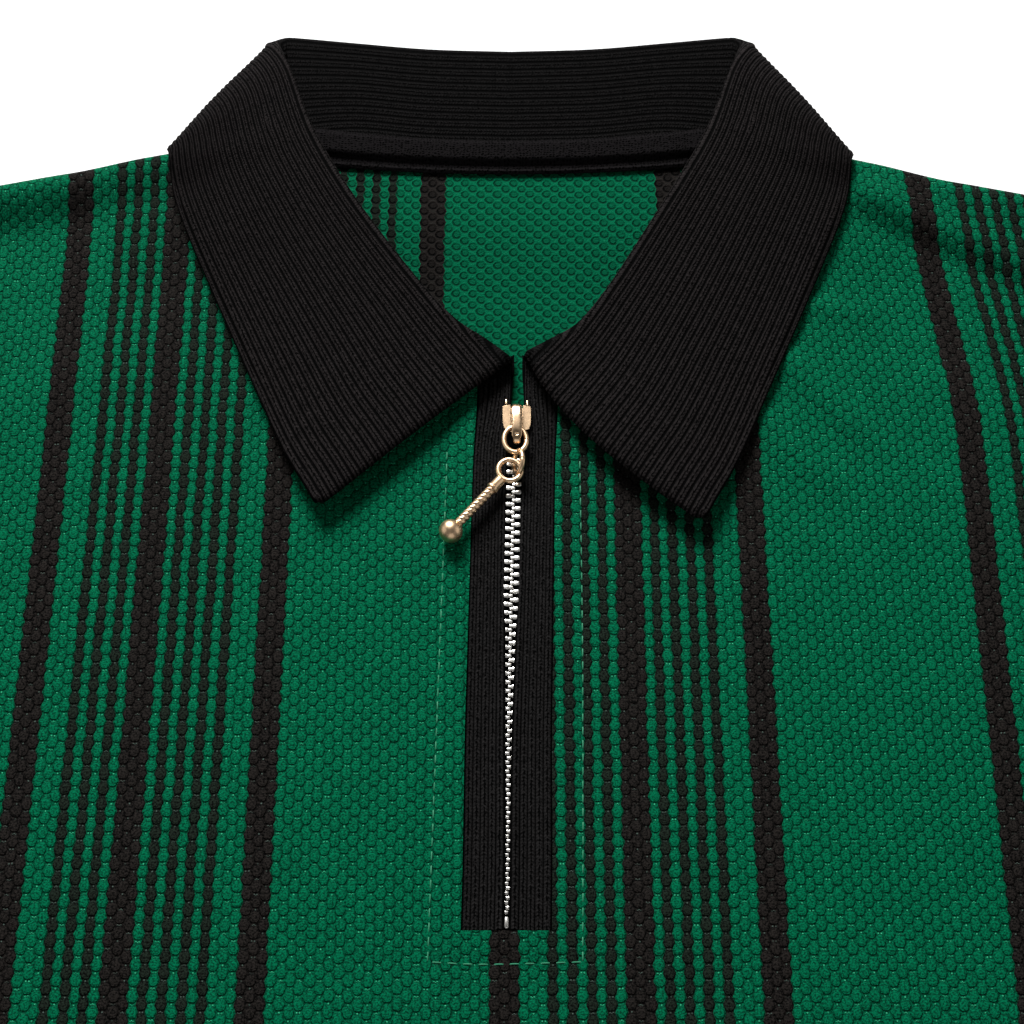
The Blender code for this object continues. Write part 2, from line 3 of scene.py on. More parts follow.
import bmesh
import bpy
import numpy as np
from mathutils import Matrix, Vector


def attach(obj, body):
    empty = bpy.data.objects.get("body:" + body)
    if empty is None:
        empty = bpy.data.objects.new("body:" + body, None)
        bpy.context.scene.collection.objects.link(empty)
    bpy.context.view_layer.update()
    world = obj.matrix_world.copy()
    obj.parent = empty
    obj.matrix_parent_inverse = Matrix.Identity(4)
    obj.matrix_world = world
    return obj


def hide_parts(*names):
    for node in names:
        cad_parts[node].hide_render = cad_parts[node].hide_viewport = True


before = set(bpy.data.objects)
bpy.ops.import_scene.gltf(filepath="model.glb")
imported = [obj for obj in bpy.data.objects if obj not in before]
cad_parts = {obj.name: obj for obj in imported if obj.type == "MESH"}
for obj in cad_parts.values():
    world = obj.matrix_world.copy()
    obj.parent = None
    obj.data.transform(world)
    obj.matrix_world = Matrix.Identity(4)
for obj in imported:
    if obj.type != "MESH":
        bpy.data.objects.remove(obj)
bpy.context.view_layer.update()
scene = bpy.context.scene

# lengths are in millimetres until toWorld turns them to metres:
# x from the middle, y up from the level of the collar's points, z up from the floor
cut = {
    "middleY": 178.6,  # that level lies this far above the middle of the part
    # half of the outline, as x and y
    "neckPoint": (86.5, 141.5),
    "shoulderTip": (245.0, 106.8),
    "armpit": (282.0, -112.0),
    "hemCorner": (272.0, -548.0),
    "armhole": ((282, -112), (262, -84), (247, -44), (239, 0), (239, 52), (245, 106.8)),
    "sleeveTop": ((245, 106.8), (310, 85), (375, 48), (432, 0), (490, -85), (550, -182), (669.5, -374)),
    "sleeveUnder": ((282, -112), (330, -160), (400, -236), (480, -322), (590.7, -436)),
    "cloth": 2.0,
    "backMid": 1.0,  # level of the middle of the back's wall, and of the front's above it
    "frontMid": 3.3,
    "seam": 0.3,  # gap between two sewn pieces
    "sideRoll": 3.5,  # radius that the folded edges turn with
    "shoulderRoll": 4.6,
    "neckRoll": 3.3,
    "beadFall": 18.0,  # the roll's height takes so far to settle on the front
    "beadFallRight": 13.5,
    "collarLift": 2.7,  # the collar under the neck lifts both panels
    "neckPuff": 1.2,
    "sideDrop": 1.8,  # so much lower the right shoulder lies, and higher the left one
    "levelLeft": (85.0, 30.0),  # the back stays level as far as this, and drops over so much
    "levelRight": (95.0, 70.0),
}


def smooth(value):
    t = np.clip(value, 0.0, 1.0)
    return t * t * (3 - 2 * t)


def spline(points, between):
    # smooth curve through the points, with that many steps in each stretch
    p = np.array(points, float)
    padded = np.vstack([2 * p[0] - p[1], p, 2 * p[-1] - p[-2]])
    t = (np.arange(between) / between)[:, None]
    found = []
    for a, b, c, d in zip(padded, padded[1:], padded[2:], padded[3:]):
        square = (2 * a - 5 * b + 4 * c - d) * t**2
        cube = (3 * b - a - 3 * c + d) * t**3
        found.append(0.5 * (2 * b + (c - a) * t + square + cube))
    return np.vstack([*found, p[-1:]])


def runLength(points):
    # how far along the points each of them lies
    return np.concatenate([[0], np.cumsum(np.linalg.norm(np.diff(points, axis=0), axis=1))])


def along(curve, fractions):
    run = runLength(curve)
    at = np.array(fractions) * run[-1]
    return np.stack([np.interp(at, run, curve[:, k]) for k in range(2)], axis=-1)


topEdge = np.vstack([[cut["neckPoint"]], spline(cut["sleeveTop"], 4)])
underEdge = np.vstack([[cut["hemCorner"]], spline(cut["sleeveUnder"], 4)])
outline = np.vstack(
    [[(0, cut["hemCorner"][1])], underEdge, topEdge[::-1], [(cut["neckPoint"][0], 200), (0, 200)]]
)


def edgeDistance(x, y):
    # distance in from the nearest rolled edge, less than nothing outside the cloth
    p = np.stack([np.abs(x), np.broadcast_to(y, np.shape(x))], -1).astype(float)
    best = np.full(p.shape[:-1], 1e9)
    for line in (topEdge, underEdge):
        for a, b in zip(line[:-1], line[1:]):
            way = b - a
            t = np.clip(((p - a) @ way) / (way @ way), 0, 1)
            best = np.minimum(best, np.linalg.norm(p - (a + t[..., None] * way), axis=-1))
    inside = np.zeros(best.shape, bool)
    for (ax, ay), (bx, by) in zip(outline, np.roll(outline, -1, axis=0)):
        crosses = (ay > p[..., 1]) != (by > p[..., 1])
        at = ax + (p[..., 1] - ay) * (bx - ax) / (by - ay if by != ay else 1)
        inside ^= crosses & (p[..., 0] < at)
    return np.where(inside, best, -best)


def rollRadius(x, y):
    side = np.abs(x)
    shoulder = smooth((y - 20) / 60) * smooth((330 - side) / 90)
    full = cut["shoulderRoll"] + (cut["neckRoll"] - cut["shoulderRoll"]) * smooth((165 - side) / 40)
    return cut["sideRoll"] + (full - cut["sideRoll"]) * shoulder


def collarLift(x, y):
    return cut["collarLift"] * smooth((y - 78) / 36) * smooth((156 - np.abs(x)) / 28)


def neckPuff(x, y):
    reach = np.sqrt((x / 125) ** 2 + ((y - 110) / 130) ** 2)
    return cut["neckPuff"] * (1 - smooth((reach - 0.55) / 0.6))


def backHeight(x, y):
    radius = rollRadius(x, y)
    inward = np.clip(edgeDistance(x, y), 0, radius)
    return cut["backMid"] + collarLift(x, y) + radius - np.sqrt(radius**2 - (radius - inward) ** 2)


def beadShare(x, distance, radius):
    # how much of the rolled edge's height the front still has at that distance from it
    fall = cut["beadFall"] + (cut["beadFallRight"] - cut["beadFall"]) * smooth((x - 60) / 60)
    return (1 - smooth((distance - radius) / fall)) ** 1.5


def frontHeight(x, y, above=0.0):
    radius = rollRadius(x, y)
    distance = edgeDistance(x, y)
    lift = collarLift(x, y)
    centre = cut["backMid"] + lift + radius
    reach = radius + above
    inward = np.clip(distance, -above, radius)
    rolled = centre + np.sqrt(np.maximum(reach**2 - (radius - inward) ** 2, 0))
    settled = cut["frontMid"] + lift + neckPuff(x, y) + above
    bead = beadShare(x, distance, radius)
    return np.where(distance <= radius, rolled, settled + (centre + reach - settled) * bead)


zipLine = {
    "bottom": -139.6,
    "footX": -1.0,
    "lean": 3.3,  # so far to the right its upper end stands of its foot
    "sway": 0.65,  # and so far to the left its middle hangs of that line
    "z": 2.3,
    "climb": 1.5,
    "slotHalf": 13.6,
    "follow": (80.0, 50.0),  # the cloth's columns lean with it as far as this, fading over so much
}


def zipX(y):
    sway = zipLine["sway"] * smooth((y + 130) / 60) * smooth((38 - y) / 25)
    return zipLine["footX"] + zipLine["lean"] * np.clip((y + 138) / 168, 0, 1.15) - sway


def zipHeight(y):
    return zipLine["z"] + zipLine["climb"] * smooth((y + 70) / 80)


def shoulderY(x):
    (nx, ny), (tx, ty) = cut["neckPoint"], cut["shoulderTip"]
    return ty + (ny - ty) / (tx - nx) * (tx - np.maximum(np.abs(x), 10))


def toWorld(points):
    # the right shoulder lies a little lower than the left one, but not behind the neck
    points = np.asarray(points, float)
    x, y, z = points[..., 0], points[..., 1], points[..., 2]
    near, over = [np.where(x > 0, b, a) for a, b in zip(cut["levelLeft"], cut["levelRight"])]
    behind = (1 - smooth((np.abs(x) - near) / over)) * smooth((y - 60) / 60)
    drop = cut["sideDrop"] * np.tanh(x / 50) * smooth((y + 120) / 100) * (1 - behind)
    return np.stack([x, y - drop + cut["middleY"], z], -1) * 0.001


def creaseHeight(x, y, creases):
    # soft ridges and troughs, which fade out at both ends
    total = np.zeros(np.shape(x))
    for x0, y0, x1, y1, height, width in creases:
        way = np.array([x1 - x0, y1 - y0], float)
        t = ((x - x0) * way[0] + (y - y0) * way[1]) / (way @ way)
        across = np.abs((x - x0) * way[1] - (y - y0) * way[0]) / np.linalg.norm(way)
        ends = smooth(t / 0.35) * smooth((1 - t) / 0.35)
        total = total + height * np.exp(-((across / width) ** 2)) * ends
    return total


def corners(a):
    return np.stack([a[:-1, :-1], a[:-1, 1:], a[1:, 1:], a[1:, :-1]], 2)


def gridMesh(name, points, uv, closed=False, keep=None):
    # quads through rows of points, with the cloth's own coordinates as its UV map
    rows, columns = points.shape[:2]
    index = np.arange(rows * columns).reshape(rows, columns)
    if closed:
        index = np.hstack([index, index[:, :1]])
    quads, places = corners(index), corners(uv)
    if keep is not None:
        quads, places = quads[keep], places[keep]
    quads, places = quads.reshape(-1, 4), places.reshape(-1, 2)
    used, quads = np.unique(quads, return_inverse=True)
    mesh = bpy.data.meshes.new(name)
    mesh.from_pydata(toWorld(points).reshape(-1, 3)[used].tolist(), [], quads.reshape(-1, 4).tolist())
    layer = mesh.uv_layers.new(name="cloth")
    layer.data.foreach_set("uv", (places * 0.001).ravel())
    mesh.shade_smooth()
    return mesh


def addPiece(name, mesh, materials, body, replaces=()):
    piece = bpy.data.objects.new(name, mesh)
    scene.collection.objects.link(piece)
    for material in materials:
        mesh.materials.append(material)
    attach(piece, body)
    if replaces:
        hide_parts(*replaces)
    return piece


def roundEdges(piece, width, angle, harden=False):
    rounded = piece.modifiers.new("rounded edge", "BEVEL")
    rounded.width = width * 0.001
    rounded.segments = 3
    rounded.limit_method = "ANGLE"
    rounded.angle_limit = math.radians(angle)
    rounded.harden_normals = harden


def thicken(piece, thickness, bevel=0.0, inside=0):
    solidify = piece.modifiers.new("cloth", "SOLIDIFY")
    solidify.thickness = thickness * 0.001
    solidify.offset = 0
    solidify.material_offset = inside
    if bevel:
        roundEdges(piece, bevel, 50)


# materials
def hexColor(text, alpha=1.0):
    # sRGB hex to linear
    parts = [int(text[i : i + 2], 16) / 255 for i in (1, 3, 5)]
    return (*[c / 12.92 if c <= 0.04045 else ((c + 0.055) / 1.055) ** 2.4 for c in parts], alpha)


def addNode(tree, kind, links=None, **settings):
    node = tree.nodes.new(kind)
    for key, value in settings.items():
        setattr(node, key, value)
    for key, value in (links or {}).items():
        if isinstance(value, bpy.types.Node):
            value = next(s for s in value.outputs if s.enabled)
        if isinstance(value, bpy.types.NodeSocket):
            tree.links.new(value, node.inputs[key])
        else:
            node.inputs[key].default_value = value
    return node


mathNode = "ShaderNodeMath"
vectorNode = "ShaderNodeVectorMath"
rangeNode = "ShaderNodeMapRange"
mixNode = "ShaderNodeMix"
noiseNode = "ShaderNodeTexNoise"
bumpNode = "ShaderNodeBump"
splitNode = "ShaderNodeSeparateXYZ"
soft = "SMOOTHSTEP"


def perMetre(size):
    # a texture's scale from the size of its features in mm
    return 1000 / size


def newMaterial(name):
    material = bpy.data.materials.new(name)
    material.use_nodes = True
    tree = material.node_tree
    tree.nodes.clear()
    shader = addNode(tree, "ShaderNodeBsdfPrincipled")
    addNode(tree, "ShaderNodeOutputMaterial", {"Surface": shader})
    return material, tree, shader


bubbleKnit = {
    "column": 2.87,  # mm from one column of bubbles to the next
    "cell": 4.68,  # mm from bubble to bubble down a column
    "zigzag": 0.42,  # mm that a column's side swings each way
    # half of the stripe repeat, a letter a column, from the middle of a group outwards
    "chart": "KKGkGkGkGkGGGKKKGGGGGGGGGGGG",  # G green, K black, k black with green in it
    # each yarn has its own colour and a much darker one, which is painted shade for the grooves round the
    # bubbles
    "green": "#006342",
    "greenGrooveShade": "#00301f",
    "black": "#221f1d",
    "blackGrooveShade": "#040404",
    "blackThin": "#1c251e",
    "pin": "#35a277",
    "blackPin": "#46544d",
    # the rest are in mm
    "relief": 0.45,
    "wander": 1.5,  # so far out of line the loops lie
    "wanderOver": 9.091,
    "fuzz": 0.6667,
    "ring": 0.8,  # from one turn of thread round a bubble to the next
    "dome": 2.2,  # a bubble's top has fallen by 0.4 of the relief this far out
    "pinEdge": (0.33, 0.16),  # a bright loop's rim and its full middle, from its own middle
    "pinApart": 0.45,
    "pinPatch": 6.25,  # they come in patches of about this size
    "dimple": 1.3,  # on the wrong side, the radius of a dimple's dark crescent of painted shadow
    "dimpleEdge": (0.5, 0.12),  # the crescent's rim and its full middle
    "dimpleLight": (-1.2, 0.6),  # the crescent's painted shadow, from where it has faded to where it is darkest
}


def bubbleKnitMaterial(name, startX, groupMiddle, skips, wrongSide=False):
    # polyester jersey with blister bubbles: matt; each bubble's crown is painted lighter
    # and the groove round it painted dark, painted highlight and shade; startX is where a heavy
    # stripe has its middle and groupMiddle how many columns its group's middle is from it
    s = bubbleKnit
    c, p, swing, loose = [s[key] * 0.001 for key in ("column", "cell", "zigzag", "wander")]
    material, tree, shader = newMaterial(name)
    place = addNode(tree, "ShaderNodeUVMap", uv_map="cloth")
    # the loops aren't quite in line
    drift = {"Vector": place, "Scale": perMetre(s["wanderOver"]), "Detail": 2.0}
    drift = addNode(tree, noiseNode, drift).outputs["Color"]
    drift = addNode(tree, vectorNode, {0: drift, 1: (0.5, 0.5, 0.5)}, operation="SUBTRACT")
    spot = addNode(tree, vectorNode, {0: drift, 1: (loose, loose, 0), 2: place}, operation="MULTIPLY_ADD")
    start = (-startX * 0.001, 0, 0)
    flat = addNode(tree, vectorNode, {0: spot, 1: (1, 1, 0), 2: start}, operation="MULTIPLY_ADD")
    # two lattices, one between the other, and the nearer bubble of the two
    low, high = (-c, -p / 2, -1), (c, p / 2, 0)
    even = addNode(tree, vectorNode, {0: flat, 1: high, 2: low}, operation="WRAP")
    moved = addNode(tree, vectorNode, {0: flat, 1: high}, operation="SUBTRACT")
    odd = addNode(tree, vectorNode, {0: moved, 1: high, 2: low}, operation="WRAP")
    slope = 4 * swing / p
    reach = []
    for lattice in (even, odd):
        size = addNode(tree, vectorNode, {0: lattice}, operation="ABSOLUTE")
        reach.append(addNode(tree, vectorNode, {0: size, 1: (1, slope, 0)}, operation="DOT_PRODUCT"))
    nearer = addNode(tree, mathNode, {0: reach[1], 1: reach[0]}, operation="LESS_THAN")
    local = addNode(tree, mixNode, {0: nearer, 4: even, 5: odd}, data_type="VECTOR")
    local = addNode(tree, vectorNode, {0: local, 1: (1, 1, 0)}, operation="MULTIPLY")
    centre = addNode(tree, vectorNode, {0: flat, 1: local}, operation="SUBTRACT")
    centreParts = addNode(tree, splitNode, {0: centre})
    # the column's number, and its colour from the chart
    column = addNode(tree, mathNode, {0: centreParts, 1: c}, operation="DIVIDE")
    column = addNode(tree, mathNode, {0: column}, operation="ROUND")
    for start, count in skips:
        # here the cloth has that many columns more, or fewer, than the chart
        side = "GREATER_THAN" if start > 0 else "LESS_THAN"
        past = addNode(tree, mathNode, {0: column, 1: start}, operation=side)
        column = addNode(tree, mathNode, {0: past, 1: count, 2: column}, operation="MULTIPLY_ADD")
    half = len(s["chart"]) - 1
    offset = addNode(tree, mathNode, {0: column, 1: groupMiddle}, operation="SUBTRACT")
    offset = addNode(tree, mathNode, {0: offset, 1: half, 2: -half}, operation="WRAP")
    offset = addNode(tree, mathNode, {0: offset}, operation="ABSOLUTE")
    offset = addNode(tree, mathNode, {0: offset, 1: 0.5}, operation="ADD")
    offset = addNode(tree, mathNode, {0: offset, 1: half + 1}, operation="DIVIDE")
    chart = addNode(tree, "ShaderNodeValToRGB", {"Fac": offset})
    ramp = chart.color_ramp
    ramp.interpolation = "CONSTANT"
    tints = {"G": (0, 0, 0, 1), "K": (1, 0, 0, 1), "k": (1, 1, 0, 1)}
    for k, letter in enumerate(s["chart"]):
        tint = tints[letter]
        if k == 0:
            ramp.elements[0].color = tint
        elif letter != s["chart"][k - 1]:
            ramp.elements.new(k / len(s["chart"])).color = tint
    ramp.elements[-1].position = 1.0
    ramp.elements[-1].color = tints["G"]
    chart = addNode(tree, "ShaderNodeSeparateColor", {0: chart})
    # how far out towards the edge of its six-sided cell a point is
    size = addNode(tree, vectorNode, {0: local}, operation="ABSOLUTE")
    outer = (c / 2 + swing) * 0.93
    across = {0: size, 1: (1 / outer, slope / outer, 0)}
    across = addNode(tree, vectorNode, across, operation="DOT_PRODUCT")
    across = addNode(tree, mathNode, {0: across, 1: 6.0}, operation="POWER")
    upward = addNode(tree, vectorNode, {0: size, 1: (0, 2 / p / 0.77, 0)}, operation="DOT_PRODUCT")
    upward = addNode(tree, mathNode, {0: upward, 1: 6.0}, operation="POWER")
    edge = addNode(tree, mathNode, {0: across, 1: upward}, operation="ADD")
    edge = addNode(tree, mathNode, {0: edge, 1: 1 / 6}, operation="POWER")
    radius = addNode(tree, vectorNode, {0: local}, operation="LENGTH")
    crown = addNode(tree, rangeNode, {0: edge, 1: 1.03, 2: 0.82}, interpolation_type=soft)
    # rings of thread round each bubble, and the yarn's own fuzz
    fuzz = {"Vector": place, "Scale": perMetre(s["fuzz"]), "Detail": 2.0, "Roughness": 0.7}
    fuzz = addNode(tree, noiseNode, fuzz)
    turns = 2 * math.pi * perMetre(s["ring"])
    phase = addNode(tree, mathNode, {0: radius, 1: turns, 2: -2.2}, operation="MULTIPLY_ADD")
    phase = addNode(tree, mathNode, {0: fuzz, 1: 6.0, 2: phase}, operation="MULTIPLY_ADD")
    rings = addNode(tree, mathNode, {0: phase}, operation="SINE")
    # one or two bright loops show in the neck between a bubble and the next one
    bubble = {0: centre, 1: (1 / c, 2 / p, 0), 2: (0.5, 0.5, 0.5)}
    bubble = addNode(tree, vectorNode, bubble, operation="MULTIPLY_ADD")
    bubble = addNode(tree, vectorNode, {0: bubble}, operation="FLOOR")
    chance = addNode(tree, "ShaderNodeTexWhiteNoise", {"Vector": bubble}, noise_dimensions="3D")
    twin = addNode(tree, mathNode, {0: chance, 1: 0.76}, operation="GREATER_THAN")
    twin = addNode(tree, mathNode, {0: twin, 1: s["pinApart"] * 0.001}, operation="MULTIPLY")
    pinAt = addNode(tree, "ShaderNodeCombineXYZ", {0: twin, 1: p / 2})
    pinAt = addNode(tree, vectorNode, {0: size, 1: pinAt}, operation="DISTANCE")
    rim, full = [mm * 0.001 for mm in s["pinEdge"]]
    pin = addNode(tree, rangeNode, {0: pinAt, 1: rim, 2: full}, interpolation_type=soft)
    spare = {"Vector": flat, "Scale": perMetre(s["pinPatch"]), "Detail": 1.0}
    spare = addNode(tree, noiseNode, spare)
    spare = addNode(tree, rangeNode, {0: spare, 1: 0.38, 2: 0.56, 3: 0.12, 4: 1.0})
    pin = addNode(tree, mathNode, {0: pin, 1: spare}, operation="MULTIPLY")
    if wrongSide:
        # the wrong side: round dimples, each with a dark crescent painted on one side as shadow, and a
        # lighter net between them
        rim, full = [mm * 0.001 for mm in s["dimpleEdge"]]
        shadowCrescent = addNode(tree, mathNode, {0: radius, 1: s["dimple"] * 0.001}, operation="SUBTRACT")
        shadowCrescent = addNode(tree, mathNode, {0: shadowCrescent}, operation="ABSOLUTE")
        shadowCrescent = addNode(tree, rangeNode, {0: shadowCrescent, 1: rim, 2: full}, interpolation_type=soft)
        dark, bright = [mm * 0.001 for mm in s["dimpleLight"]]
        lean = addNode(tree, vectorNode, {0: local, 1: (-0.45, -0.9, 0)}, operation="DOT_PRODUCT")
        upper = addNode(tree, rangeNode, {0: lean, 1: dark, 2: bright, 3: 0.1, 4: 1.0})
        shadowCrescent = addNode(tree, mathNode, {0: shadowCrescent, 1: upper}, operation="MULTIPLY")
        net = addNode(tree, rangeNode, {0: edge, 1: 0.6, 2: 0.95, 3: 0.0, 4: 0.28})
        shade = addNode(tree, mathNode, {0: fuzz, 1: 0.9, 2: -0.02}, operation="MULTIPLY_ADD")
        shade = addNode(tree, mathNode, {0: shade, 1: net}, operation="ADD")
        shade = addNode(tree, mathNode, {0: shadowCrescent, 1: -0.62, 2: shade}, operation="MULTIPLY_ADD")
        height = fuzz
        for part, weight in ((shadowCrescent, -0.8), (net, 1.5)):
            height = addNode(tree, mathNode, {0: part, 1: weight, 2: height}, operation="MULTIPLY_ADD")
        pin = addNode(tree, mathNode, {0: pin, 1: 0.12}, operation="MULTIPLY")
    else:
        dome = addNode(tree, mathNode, {0: radius, 1: radius}, operation="MULTIPLY")
        fall = -0.4 / (s["dome"] * 0.001) ** 2
        height = crown
        for part, weight in ((rings, 0.06), (dome, fall), (fuzz, 0.45), (pin, 0.4)):
            height = addNode(tree, mathNode, {0: part, 1: weight, 2: height}, operation="MULTIPLY_ADD")
        # the crown is painted lighter, and the groove round it and the line at the neck darker: painted
        # shade over the bump
        neck = addNode(tree, rangeNode, {0: upward, 1: 1.3, 2: 2.6, 3: 0.0, 4: 0.7})
        shade = addNode(tree, mathNode, {0: crown, 1: neck}, operation="MAXIMUM")
        shade = addNode(tree, mathNode, {0: shade, 1: 0.38}, operation="MULTIPLY")
        # the chance is there because no two bubbles took the dye quite alike
        for part, weight in ((rings, 0.12), (fuzz, 5.0), (chance, 0.16)):
            shade = addNode(tree, mathNode, {0: part, 1: weight, 2: shade}, operation="MULTIPLY_ADD")
        shade = addNode(tree, mathNode, {0: shade, 1: -2.33}, operation="ADD")
    thin = chart.outputs["Green"]
    black = {0: thin, 6: hexColor(s["black"]), 7: hexColor(s["blackThin"])}
    black = addNode(tree, mixNode, black, data_type="RGBA").outputs[2]
    mixed = []
    # each tone runs from its painted groove shade up to the yarn's own colour, then to the loops' colour
    tones = ("greenGrooveShade", hexColor(s["green"]), "pin"), ("blackGrooveShade", black, "blackPin")
    for shadeTone, light, bright in tones:
        tone = {0: shade, 6: hexColor(s[shadeTone]), 7: light}
        tone = addNode(tree, mixNode, tone, data_type="RGBA")
        tone = {0: pin, 6: tone, 7: hexColor(s[bright])}
        mixed.append(addNode(tree, mixNode, tone, data_type="RGBA"))
    color = addNode(tree, mixNode, {0: chart, 6: mixed[0], 7: mixed[1]}, data_type="RGBA")
    bump = addNode(tree, bumpNode, {"Height": height, "Distance": s["relief"] * 0.001})
    connectShader(tree, shader, color, bump, 0.85)
    return material


def connectShader(tree, shader, color, bump, roughness):
    # yarn scatters light so much that hardly any gloss is left
    tree.links.new(color.outputs[2], shader.inputs["Base Color"])
    tree.links.new(bump.outputs[0], shader.inputs["Normal"])
    shader.inputs["Roughness"].default_value = roughness
    shader.inputs["Specular IOR Level"].default_value = 0.03


ribKnit = {
    "fuzz": 0.5882,  # mm, the yarn's loose fibres
    "patch": 3.03,  # mm, slightly lighter and darker stretches
    "ridge": 0.3,  # half a ridge's width, as a share of the pitch
}


def ribKnitMaterial(name, pitch, stitch, light, shadeTone, relief=0.45, loops=0.13):
    # cotton rib: matt black ridges of V stitches; the gaps between them are painted near-black, painted
    # shade
    s = ribKnit
    material, tree, shader = newMaterial(name)
    place = addNode(tree, "ShaderNodeUVMap", uv_map="cloth")
    parts = addNode(tree, splitNode, {0: place})
    # u runs across the ribs, v along them
    across = addNode(tree, mathNode, {0: parts, 1: pitch * 0.001}, operation="DIVIDE")
    across = addNode(tree, mathNode, {0: across}, operation="FRACT")
    across = addNode(tree, mathNode, {0: across, 1: 0.5}, operation="SUBTRACT")
    centred = addNode(tree, mathNode, {0: across}, operation="ABSOLUTE")
    # the yarn's fuzz is combed along the ribs
    combed = addNode(tree, vectorNode, {0: place, 1: (1, 0.55, 0)}, operation="MULTIPLY")
    fuzz = {"Vector": combed, "Scale": perMetre(s["fuzz"]), "Detail": 2.0, "Roughness": 0.6}
    fuzz = addNode(tree, noiseNode, fuzz)
    slow = {"Vector": place, "Scale": perMetre(s["patch"]), "Detail": 2.0}
    slow = addNode(tree, noiseNode, slow)
    loose = addNode(tree, mathNode, {0: centred, 1: 0.17}, operation="SUBTRACT")
    ragged = addNode(tree, mathNode, {0: fuzz, 1: 0.34, 2: loose}, operation="MULTIPLY_ADD")
    ridge = {0: ragged, 1: s["ridge"] + 0.14, 2: s["ridge"]}
    ridge = addNode(tree, rangeNode, ridge, interpolation_type=soft)
    # a finer gap down the middle of each ridge, where its two rows of stitches meet, painted darker as
    # shade
    seam = {0: ragged, 1: 0.0, 2: 0.12, 3: 0.1, 4: 1.0}
    seam = addNode(tree, rangeNode, seam, interpolation_type=soft)
    run = {0: parts.outputs[1], 1: 2 * math.pi * perMetre(stitch)}
    run = addNode(tree, mathNode, run, operation="MULTIPLY")
    run = addNode(tree, mathNode, {0: centred, 1: 11.0, 2: run}, operation="MULTIPLY_ADD")
    run = addNode(tree, mathNode, {0: fuzz, 1: 4.0, 2: run}, operation="MULTIPLY_ADD")
    stitches = addNode(tree, mathNode, {0: run}, operation="SINE")
    stitches = addNode(tree, mathNode, {0: stitches, 1: ridge}, operation="MULTIPLY")
    body = addNode(tree, mathNode, {0: ridge, 1: seam}, operation="MULTIPLY")
    # the colour follows the height, light on the ridges and dark in the gaps: painted shade
    shade = addNode(tree, mathNode, {0: stitches, 1: loops, 2: body}, operation="MULTIPLY_ADD")
    height = addNode(tree, mathNode, {0: fuzz, 1: 0.6, 2: shade}, operation="MULTIPLY_ADD")
    for part, weight in ((slow, 0.8), (fuzz, 2.6)):
        shade = addNode(tree, mathNode, {0: part, 1: weight, 2: shade}, operation="MULTIPLY_ADD")
    shade = addNode(tree, mathNode, {0: shade, 1: -2.0}, operation="ADD")
    tone = {0: shade, 6: hexColor(shadeTone), 7: hexColor(light)}
    tone = addNode(tree, mixNode, tone, data_type="RGBA")
    bump = addNode(tree, bumpNode, {"Height": height, "Distance": relief * 0.001})
    connectShader(tree, shader, tone, bump, 0.9)
    return material


netKnit = {"wander": 2.2, "wanderOver": 5.556, "fuzz": 0.6667, "relief": 0.4}  # mm


def netKnitMaterial(name, cell, light, shadeTone):
    # soft net jersey of the neck tape: pin holes painted dark as shade, in a fuzzy black ground
    s = netKnit
    loose = s["wander"] * 0.001
    material, tree, shader = newMaterial(name)
    place = addNode(tree, "ShaderNodeUVMap", uv_map="cloth")
    drift = {"Vector": place, "Scale": perMetre(s["wanderOver"]), "Detail": 2.0}
    drift = addNode(tree, noiseNode, drift).outputs["Color"]
    spot = addNode(tree, vectorNode, {0: drift, 1: (loose, loose, 0), 2: place}, operation="MULTIPLY_ADD")
    spot = addNode(tree, vectorNode, {0: spot, 1: (1.25, 0.9, 0)}, operation="MULTIPLY")
    holes = {"Vector": spot, "Scale": perMetre(cell), "Randomness": 0.4}
    holes = addNode(tree, "ShaderNodeTexVoronoi", holes)
    fuzz = {"Vector": place, "Scale": perMetre(s["fuzz"]), "Detail": 3.0}
    fuzz = addNode(tree, noiseNode, fuzz)
    net = addNode(tree, rangeNode, {0: holes, 1: 0.12, 2: 0.5}, interpolation_type=soft)
    height = addNode(tree, mathNode, {0: fuzz, 1: 0.9, 2: net}, operation="MULTIPLY_ADD")
    # the colour follows the height, so the holes are painted shade
    shade = addNode(tree, mathNode, {0: height, 1: -0.62}, operation="ADD")
    tone = {0: shade, 6: hexColor(shadeTone), 7: hexColor(light)}
    tone = addNode(tree, mixNode, tone, data_type="RGBA")
    bump = addNode(tree, bumpNode, {"Height": height, "Distance": s["relief"] * 0.001})
    connectShader(tree, shader, tone, bump, 0.9)
    return material


def metalMaterial(name, color, roughness, scratches):
    # plated or polished metal: mirror-like, with hair scratches (their depth is in mm) that
    # soften its highlights
    material, tree, shader = newMaterial(name)
    place = addNode(tree, "ShaderNodeTexCoord").outputs["Object"]
    worn = addNode(tree, noiseNode, {"Vector": place, "Scale": perMetre(1.111), "Detail": 3.0})
    rough = {0: worn, 3: roughness * 0.85, 4: roughness * 1.2}
    rough = addNode(tree, rangeNode, rough)
    bump = addNode(tree, bumpNode, {"Height": worn, "Distance": scratches * 0.001})
    shader.inputs["Base Color"].default_value = hexColor(color)
    shader.inputs["Metallic"].default_value = 1.0
    tree.links.new(rough.outputs[0], shader.inputs["Roughness"])
    tree.links.new(bump.outputs[0], shader.inputs["Normal"])
    return material


